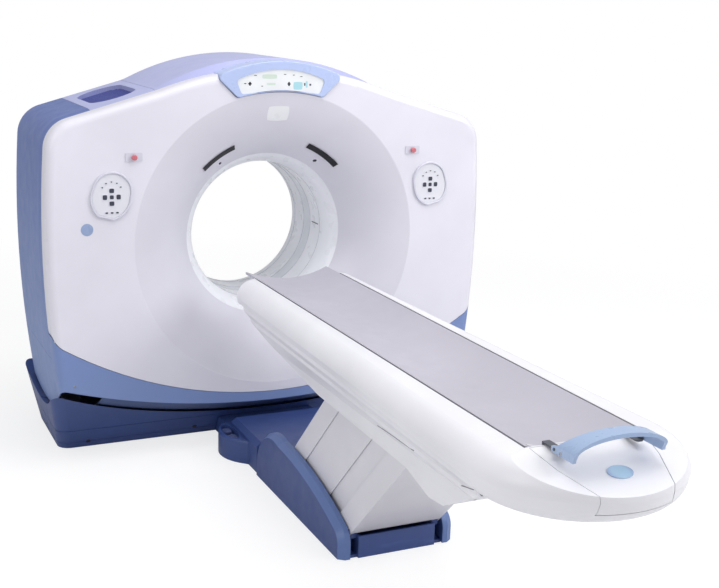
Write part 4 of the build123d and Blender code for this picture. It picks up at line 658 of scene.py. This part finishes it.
class SCANNER_OT_controls(bpy.types.Operator):
    """Control panels, stop buttons, status lights, sensors and the display over the bore"""

    bl_idname = "scanner.controls"
    bl_label = "Controls and display"

    def execute(self, context):
        colours = context.scene.scanner_colours
        sizes = context.scene.scanner_sizes
        mark = tuple(colours.mark)
        dress(moulded("panel rim", tone(214, 213, 226), 0.34), "control_bezels")
        dress(moulded("key sheet", tone(226, 226, 234), 0.46, 0.0), "keypads")
        dress(moulded("stop red", tone(206, 112, 122), 0.3, 0.4), "stop_button_left", "stop_button_right")
        lamp = Finish("lamp black", 0.5)
        lamp.raised(lamp.noise(0.05, 1), 0.0004, 0.3)
        dress(lamp.close(clouded(lamp, tone(24, 24, 30), 0.2, 0.05), 0.03), "status_lights")
        glow = Finish("display white", 0.2, coat=0.4)
        glow.shader.inputs["Emission Color"].default_value = (*tone(236, 238, 240), 1)
        glow.shader.inputs["Emission Strength"].default_value = 0.12
        glow.raised(glow.noise(0.02, 1), 0.0002, 0.2)
        dress(glow.close(clouded(glow, tone(226, 228, 230), 0.04, 0.08), 0.04), "display_window")

        self.key_caps(moulded("key cap grey", mark, 0.42, 0.0))
        self.display_marks(mark)
        glass = Finish("sensor glass", 0.08, coat=0.8)
        glass = glass.close(clouded(glass, tone(40, 40, 48), 0.2, 0.01), 0.03)

        def sensors(work):
            for x in (-SENSOR_X, SENSOR_X):
                place = dish_place(x, SENSOR_Z)
                pad(work, sizes.sensor * 1.2, sizes.sensor, 0.0, place, 0.0006, 0.002, 0.001, 8)

        shaped("sensor_windows", sensors, glass, "gantry", 60)
        label = moulded("plain plate", tone(238, 239, 242), 0.3, 0.2)
        shaped("dish_plate", lambda work: pad(
            work, 0.054, 0.036, 0.8, dish_place(0.001, 1.622), 0.0006, 0.0003, 0.0008, 16
        ), label, "gantry", 60)
        return {"FINISHED"}

    def key_caps(self, material):
        """Dark caps over the keys of both panels, set out by Geometry Nodes."""
        keys = [(0, 22, 26, 24), (0, -36, 26, 24), (-31, -7, 24, 26), (31, -7, 24, 26), (0, -7, 22, 22)]
        keys += [(x, -78, 16, 11) for x in (-24, 0, 24)]
        for a in (25, 58, 90, 122, 155):
            keys.append((46 * cos(radians(a)), 20 + 42 * sin(radians(a)), 11, 9))
        spots = []
        for side in (-1, 1):
            for x, z, w, h in keys:
                spot = Vector((side * (KEYPAD_X + x / 1000), FACE_Y - 0.008, KEYPAD_Z + z / 1000))
                size = ((w - 4) / 1000, (h - 4) / 1000, 0.0012)
                spots.append(aimed(spot, Vector((0, -1, 0)), size))
        cap = unit_shape("key_cap_shape", key_cap)
        values = {"Shape": cap, "Size": 1.0, "Finish": material}
        grown("key_caps", scatter_tree("key_cap_tree"), spots, values, "gantry", 50)
        bpy.data.objects.remove(cap)

    def display_marks(self, mark):
        """Plain marks behind the display's window: dark dashes and two pale fields."""
        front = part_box("display_window")[0][1]
        dark = [
            (-0.178, 1.764, 10, 4), (-0.1547, 1.763, 9, 17), (-0.1547, 1.763, 17, 6), (0.0384, 1.762, 8, 19),
            (0.0384, 1.762, 15, 6), (0.118, 1.760, 6, 13), (0.146, 1.758, 9, 9), (-0.128, 1.801, 14, 3),
            (0.018, 1.806, 12, 3), (0.062, 1.803, 9, 3), (0.1, 1.796, 12, 3), (-0.095, 1.752, 9, 3),
        ]
        blue = [(0.0839, 1.7535, 46, 36), (0.128, 1.760, 10, 30)]
        green = [(-0.058, 1.796, 74, 20), (-0.05, 1.762, 44, 10)]
        fields = {
            "display_field_blue": (blue, tone(170, 216, 226)),
            "display_field_green": (green, tone(208, 224, 212)),
            "display_marks": (dark, mark),
        }
        for name, (rows, shade) in fields.items():
            proud = 0.0009 if name == "display_marks" else 0.0005

            def build(work, rows=rows, proud=proud):
                for x, z, w, h in rows:
                    place = upright(x, front, z)
                    pad(work, w / 2000, h / 2000, 0.8, place, proud, 0.0, 0.0005, 4)

            shaped(name, build, moulded(name + " paint", shade, 0.3, 0.0), "gantry", 50)


class SCANNER_OT_bore(bpy.types.Operator):
    """Bore liner, scan window, their gaskets and the slots of the aiming lights"""

    bl_idname = "scanner.bore"
    bl_label = "Bore"

    def execute(self, context):
        colours = context.scene.scanner_colours
        sizes = context.scene.scanner_sizes
        dress(moulded("liner white", tuple(colours.liner), 0.3, 0.25), "bore_liners")
        film = Finish("window film", 0.18)
        film.shader.inputs["Transmission Weight"].default_value = 0.06
        film.raised(film.noise(0.05, 1), 0.0004, 0.2)
        dress(film.close(clouded(film, tone(232, 236, 242), 0.03, 0.1), 0.04), "scan_window")
        gasket = rubber("gasket grey", tone(186, 188, 198), 0.6)
        spots = [((0, y, AXIS_Z), (0, 0, 0), (1, 1, 1)) for y in GASKET_SPOTS]
        values = {
            "Radius": BORE_R, "Thickness": sizes.gasket, "Sides": GASKET_SIDES, "Finish": gasket,
        }
        grown("bore_gaskets", ring_tree("gasket_tree"), spots, values, "gantry", 60)
        slot = rubber("slot dark", tone(60, 62, 70), 0.4)

        def slots(work):
            for side in (-1, 1):
                def place(u, v, t, side=side):
                    a, r = v / BORE_R, BORE_R - t
                    return Vector((side * r * cos(a), u + SLOT_Y, SLOT_Z + r * sin(a)))
                pad(work, 0.044, 0.0028, 0.8, place, 0.0006, 0.0004, 0.0006, 8)

        shaped("aiming_slots", slots, slot, "gantry", 50)
        return {"FINISHED"}


class SCANNER_OT_inside(bpy.types.Operator):
    """Finishes of the rotating frame, its load and the cover frame"""

    bl_idname = "scanner.inside"
    bl_label = "Inner parts"

    def execute(self, context):
        dress(cast("rotor casting", tone(150, 154, 160)), "rotor_drum")
        dress(cast("tilt frame paint", tone(206, 208, 212), 0.5, 0.0), "tilt_frame", "cover_frame")
        steel = metal("bearing steel", (0.55, 0.56, 0.58), 0.26)
        dress(steel, "outer_race", "inner_race", "tilt_bearings")
        dress(cast("tube housing", tone(188, 194, 202), 0.45, 0.2), "xray_tube")
        dress(metal("collimator alloy", (0.62, 0.63, 0.66), 0.4), "collimator")
        dress(cast("detector black", tone(52, 54, 60), 0.5, 0.3), "detector")
        dress(cast("tank paint", tone(120, 130, 146), 0.5, 0.2), "power_tanks")
        dress(metal("slip ring copper", (0.72, 0.45, 0.30), 0.3), "slip_ring")
        dress(cast("contact resin", tone(92, 70, 56), 0.6, 0.0), "brush_block")
        dress(cast("tilt drive paint", tone(96, 104, 120), 0.45, 0.3), "tilt_drive")
        return {"FINISHED"}


class SCANNER_OT_base(bpy.types.Operator):
    """Gantry base, neck, foot controls and pedals"""

    bl_idname = "scanner.base"
    bl_label = "Base and foot controls"

    def execute(self, context):
        colours = context.scene.scanner_colours
        navy = tuple(colours.navy)
        dress(navy_paint("base navy", navy), "base_covers", "neck_cover", "foot_controls")
        dress(cast("base frame paint", tone(128, 132, 140), 0.5, 0.2), "base_frame")
        pedals = [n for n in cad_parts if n.startswith("pedal_")]
        dress(rubber("pedal rubber", tone(84, 96, 140), 0.6), *pedals)
        plug = rubber("plug dark", tone(28, 30, 40), 0.6)

        def plugs(work):
            for x, z in ((-0.897, 0.034), (-0.364, 0.046), (0.364, 0.046), (0.897, 0.034)):
                for side in (-1, 1):
                    place = resting("base_covers", (x, side, z), (0, -side, 0))
                    pad(work, 0.011, 0.010, 0.0, place, 0.0008, 0.0025, 0.001, 8)

        shaped("base_plugs", plugs, plug, "base", 50)
        return {"FINISHED"}


class SCANNER_OT_pedestal(bpy.types.Operator):
    """Pedestal: tray, side pods, slats, lift legs and pins"""

    bl_idname = "scanner.pedestal"
    bl_label = "Pedestal"

    def execute(self, context):
        colours = context.scene.scanner_colours
        navy = tuple(colours.navy)
        dress(navy_paint("tray navy", navy), "table_tray")
        dress(self.pontoon_light_and_shade_finish(tuple(colours.pontoon), navy), "pontoons")
        slat = moulded("slat grey", tuple(colours.slat), 0.4)
        dress(slat, "slat_head", "slats_front", "slats_rear", "slat_foot")
        dress(cast("lift leg paint", tone(190, 192, 198), 0.45, 0.1), "leg_head", "leg_foot")
        dress(metal("pivot steel", (0.60, 0.61, 0.63), 0.28), "pivot_pins_lower", "pivot_pins_upper")
        return {"FINISHED"}

    def pontoon_light_and_shade_finish(self, band, shaded_facet):
        """Blue paint with painted light and shade: darker on the large flat facets that face sideways than on
        the rounded band round them.
        """
        finish = Finish("pontoon blue", 0.42)
        finish.raised(finish.noise(0.0014, 1), 0.00016, 0.6)
        # painted shade: the colour follows the way each face looks, darker on faces turned to the sides
        side = finish.maths("ABSOLUTE", finish.facing("X"))
        flat = finish.span(side, 0.97, 0.995, 0, 1)
        return finish.close(finish.mix(flat, clouded(finish, band, 0.05), clouded(finish, shaded_facet, 0.05)))


class SCANNER_OT_table(bpy.types.Operator):
    """Table covers, foot panel, medallion, dark beads of painted shade along the grooves, and screws"""

    bl_idname = "scanner.table"
    bl_label = "Table"

    def execute(self, context):
        colours = context.scene.scanner_colours
        sizes = context.scene.scanner_sizes
        white = moulded("table white", tuple(colours.table), 0.36, 0.2)
        dress(white, "table_sides", "table_nose", "table_foot", "foot_panel")
        dress(moulded("underside grey", dimmed(tuple(colours.table), 0.92), 0.5), "table_underside")
        # painted shade, partly: the deck pan is made dark so the gap between the cradle and the side covers
        # reads as a dark line, on top of the real occlusion there
        dress(cast("deck dark painted shade", tone(96, 92, 98), 0.6, 0.0), "deck_pan")
        dress(cast("chassis paint", tone(140, 144, 150), 0.5, 0.2), "table_chassis")
        dress(self.medal_finish(tuple(colours.handle)), "foot_medallion")
        # painted shade: dark beads along the groove in each side cover and along the seam at the foot stand
        # for the shade there
        groove = rubber("groove painted shade", tone(120, 118, 128), 0.6)
        for side, word in ((-1, "left"), (1, "right")):
            lines = {
                "table_groove": [
                    (-2.17, 0.674), (-2.28, 0.688), (-2.37, 0.699), (-2.45, 0.707), (-2.53, 0.714),
                ],
                "foot_groove": [
                    (-2.86, 0.722), (-2.89, 0.731), (-2.92, 0.740), (-2.95, 0.749), (-2.972, 0.757),
                ],
            }
            for name, row in lines.items():
                points = [on_skin("table_sides", (side * 0.6, y, z), (-side, 0, 0))[0] for y, z in row]
                tube(f"{name}_{word}", points, sizes.groove, groove, "table")
        caps = metal("table screw steel", (0.45, 0.45, 0.48), 0.4)
        rows = [
            ("table_underside", (x, y, 0.1), (0, 0, 1))
            for x in (-0.16, 0.16) for y in (-1.02, -1.3, -2.5, -2.7)
        ]
        screws("table_screws", rows, caps, "table")
        return {"FINISHED"}

    def medal_finish(self, base):
        """Sky-blue enamel with a shallow hollow round the medallion's own middle."""
        finish = Finish("medallion blue", 0.26, coat=0.5)
        low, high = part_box("foot_medallion")
        centre = [(a + b) / 2 for a, b in zip(low, high)]
        local = finish.moved(centre)
        x, y = finish.axis("X", local), finish.axis("Y", local)
        far = finish.distance(x, y)
        hollow = finish.span(far, 0.010, 0.034, 0, 1)
        finish.raised(hollow, 0.002, 0.7)
        shade = finish.span(far, 0.026, 0.038, 0, 1)
        return finish.close(finish.mix(shade, tone(176, 208, 232), base), 0.04)


class SCANNER_OT_cradle(bpy.types.Operator):
    """Cradle, its end trim, the release handle with its screws, and the cradle drive"""

    bl_idname = "scanner.cradle"
    bl_label = "Cradle and handle"

    def execute(self, context):
        colours = context.scene.scanner_colours
        dress(self.laminate(tuple(colours.cradle)), "cradle")
        dress(cast("bracket grey", tone(92, 94, 104), 0.45, 0.3), "cradle_brackets")
        blue = moulded("handle blue", tuple(colours.handle), 0.3, 0.35)
        dress(blue, "handle")
        dress(cast("drive housing", tone(110, 114, 124), 0.45, 0.3), "cradle_drive")
        dress(rubber("wheel rubber", tone(48, 48, 52)), "drive_wheel")
        trim = moulded("cradle trim", tone(212, 210, 216), 0.34)
        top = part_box("cradle")[1][2]

        def end_trim(work):
            def place(u, v, t):
                spot = on_skin("cradle", (u, -3.012 + v, top + 0.2), (0, 0, -1))[0]
                return spot + Vector((0, 0, t))
            pad(work, 0.186, 0.014, 0.9, place, 0.0016, 0.0006, 0.001, 24)

        shaped("cradle_end_trim", end_trim, trim, "cradle", 50)
        steel = metal("handle screw steel", (0.5, 0.5, 0.54), 0.35)
        rows = [("handle", (side * 0.4, -3.150, 0.909), (-side, 0, 0)) for side in (-1, 1)]
        screws("handle_screws", rows, steel, "release_handle")
        return {"FINISHED"}

    def laminate(self, base):
        """Fine woven laminate under a satin skin."""
        finish = Finish("cradle laminate", 0.4, coat=0.12)
        warp = finish.put("ShaderNodeTexWave", {
            "Vector": finish.place, "Scale": 160.0, "Distortion": 0.4, "Detail": 1.0,
        }, bands_direction="X").outputs["Fac"]
        weft = finish.put("ShaderNodeTexWave", {
            "Vector": finish.place, "Scale": 160.0, "Distortion": 0.4, "Detail": 1.0,
        }, bands_direction="Y").outputs["Fac"]
        weave = finish.maths("MULTIPLY", warp, weft)
        finish.raised(weave, 0.0001, 0.35)
        shade = finish.mix(finish.span(weave, 0, 1, 0, 0.12), clouded(finish, base, 0.03), dimmed(base, 0.8))
        return finish.close(shade)


class SCANNER_OT_stage(bpy.types.Operator):
    """Floor, lights, world and camera"""

    bl_idname = "scanner.stage"
    bl_label = "Stage"

    def execute(self, context):
        stage = context.scene.scanner_stage
        forward = Vector((
            sin(stage.yaw) * cos(stage.pitch), cos(stage.yaw) * cos(stage.pitch), -sin(stage.pitch)
        ))
        camera = bpy.data.objects.new("Camera", bpy.data.cameras.new("Camera"))
        camera.data.lens = stage.focal
        camera.data.sensor_width = SENSOR
        turn = forward.to_track_quat("-Z", "Y").to_matrix() @ Matrix.Rotation(stage.roll, 3, "Z")
        camera.matrix_world = Matrix.Translation(CAMERA_PLACE) @ turn.to_4x4()
        context.collection.objects.link(camera)
        context.scene.camera = camera
        self.lamp("Key lamp", KEY_PLACE, stage.key, KEY_WIDTH)
        self.lamp("Fill lamp", FILL_PLACE, stage.fill, FILL_WIDTH)
        self.lamp("Top lamp", TOP_PLACE, stage.top, TOP_WIDTH)
        self.sky(stage.sky)
        self.floor()
        return {"FINISHED"}

    def lamp(self, name, place, power, size):
        """A large soft lamp aimed at the scanner."""
        light = bpy.data.lights.new(name, "AREA")
        light.shape = "DISK"
        light.size = size
        light.energy = power
        obj = bpy.data.objects.new(name, light)
        way = LAMP_TARGET - Vector(place)
        obj.matrix_world = Matrix.Translation(place) @ way.to_track_quat("-Z", "Y").to_matrix().to_4x4()
        bpy.context.collection.objects.link(obj)

    def seen(self, tree):
        """One where the camera or glass looks, and nought where light is gathered or reflected."""
        path = tree.nodes.new("ShaderNodeLightPath")
        node = tree.nodes.new("ShaderNodeMath")
        node.operation = "MAXIMUM"
        tree.links.new(path.outputs["Is Camera Ray"], node.inputs[0])
        tree.links.new(path.outputs["Is Transmission Ray"], node.inputs[1])
        return node.outputs["Value"]

    def sky(self, strength):
        """An even light that is seen as plain white."""
        world = bpy.data.worlds.new("Studio")
        bpy.context.scene.world = world
        world.use_nodes = True
        tree = world.node_tree
        light = tree.nodes["Background"]
        light.inputs["Color"].default_value = (0.97, 0.98, 1, 1)
        light.inputs["Strength"].default_value = strength
        white = tree.nodes.new("ShaderNodeBackground")
        white.inputs["Color"].default_value = (1, 1, 1, 1)
        mixed = tree.nodes.new("ShaderNodeMixShader")
        tree.links.new(self.seen(tree), mixed.inputs[0])
        tree.links.new(light.outputs[0], mixed.inputs[1])
        tree.links.new(white.outputs[0], mixed.inputs[2])
        tree.links.new(mixed.outputs[0], tree.nodes["World Output"].inputs["Surface"])

    def floor(self):
        """A plain pale floor that keeps a soft shadow."""
        mesh = bpy.data.meshes.new("Floor")
        far = FLOOR_HALF
        mesh.from_pydata([(-far, -far, 0), (far, -far, 0), (far, far, 0), (-far, far, 0)], [], [(0, 1, 2, 3)])
        obj = bpy.data.objects.new("Floor", mesh)
        bpy.context.collection.objects.link(obj)
        mat = bpy.data.materials.new("floor white")
        mat.use_nodes = True
        tree = mat.node_tree
        link = tree.links.new
        plain = tree.nodes["Principled BSDF"]
        plain.inputs["Base Color"].default_value = (0.80, 0.80, 0.81, 1)
        plain.inputs["Roughness"].default_value = 0.9

        soft = tree.nodes.new("ShaderNodeBsdfDiffuse")
        soft.inputs["Color"].default_value = (0.34, 0.34, 0.34, 1)
        glow = tree.nodes.new("ShaderNodeEmission")
        glow.inputs["Strength"].default_value = 0.72
        near = tree.nodes.new("ShaderNodeAddShader")
        link(soft.outputs[0], near.inputs[0])
        link(glow.outputs[0], near.inputs[1])

        spot = tree.nodes.new("ShaderNodeTexCoord")
        distance = tree.nodes.new("ShaderNodeVectorMath")
        distance.operation = "LENGTH"
        link(spot.outputs["Object"], distance.inputs[0])
        fade = tree.nodes.new("ShaderNodeMapRange")
        link(distance.outputs["Value"], fade.inputs["Value"])
        fade.inputs["From Min"].default_value, fade.inputs["From Max"].default_value = FLOOR_FADE
        white = tree.nodes.new("ShaderNodeEmission")
        faded = tree.nodes.new("ShaderNodeMixShader")
        link(fade.outputs["Result"], faded.inputs[0])
        link(near.outputs[0], faded.inputs[1])
        link(white.outputs[0], faded.inputs[2])

        mixed = tree.nodes.new("ShaderNodeMixShader")
        link(self.seen(tree), mixed.inputs[0])
        link(plain.outputs[0], mixed.inputs[1])
        link(faded.outputs[0], mixed.inputs[2])
        link(mixed.outputs[0], tree.nodes["Material Output"].inputs["Surface"])
        mesh.materials.append(mat)


class SCANNER_PT_panel(bpy.types.Panel):
    """Lists the scanner's pieces, sizes and colours"""

    bl_idname = "SCANNER_PT_panel"
    bl_label = "Scanner"
    bl_space_type = "VIEW_3D"
    bl_region_type = "UI"
    bl_category = "Scanner"

    def draw(self, context):
        layout = self.layout
        for step in STEPS:
            layout.operator(step.bl_idname)
        for group in ("scanner_colours", "scanner_sizes", "scanner_stage"):
            settings = getattr(context.scene, group)
            box = layout.box()
            for name in settings.__annotations__:
                box.prop(settings, name)


STEPS = (
    SCANNER_OT_stage, SCANNER_OT_covers, SCANNER_OT_controls, SCANNER_OT_bore, SCANNER_OT_inside,
    SCANNER_OT_base, SCANNER_OT_pedestal, SCANNER_OT_table, SCANNER_OT_cradle,
)
CLASSES = (ScannerColours, ScannerSizes, ScannerStage, *STEPS, SCANNER_PT_panel)


def register():
    for cls in CLASSES:
        bpy.utils.register_class(cls)
    bpy.types.Scene.scanner_colours = PointerProperty(type=ScannerColours)
    bpy.types.Scene.scanner_sizes = PointerProperty(type=ScannerSizes)
    bpy.types.Scene.scanner_stage = PointerProperty(type=ScannerStage)


def unregister():
    for name in ("scanner_colours", "scanner_sizes", "scanner_stage"):
        delattr(bpy.types.Scene, name)
    for cls in reversed(CLASSES):
        bpy.utils.unregister_class(cls)


def main():
    register()
    bpy.ops.scanner.stage()
    bpy.ops.scanner.covers()
    bpy.ops.scanner.controls()
    bpy.ops.scanner.bore()
    bpy.ops.scanner.inside()
    bpy.ops.scanner.base()
    bpy.ops.scanner.pedestal()
    bpy.ops.scanner.table()
    bpy.ops.scanner.cradle()
    bpy.context.scene.view_settings.view_transform = "Standard"


if __name__ == "__main__":
    main()
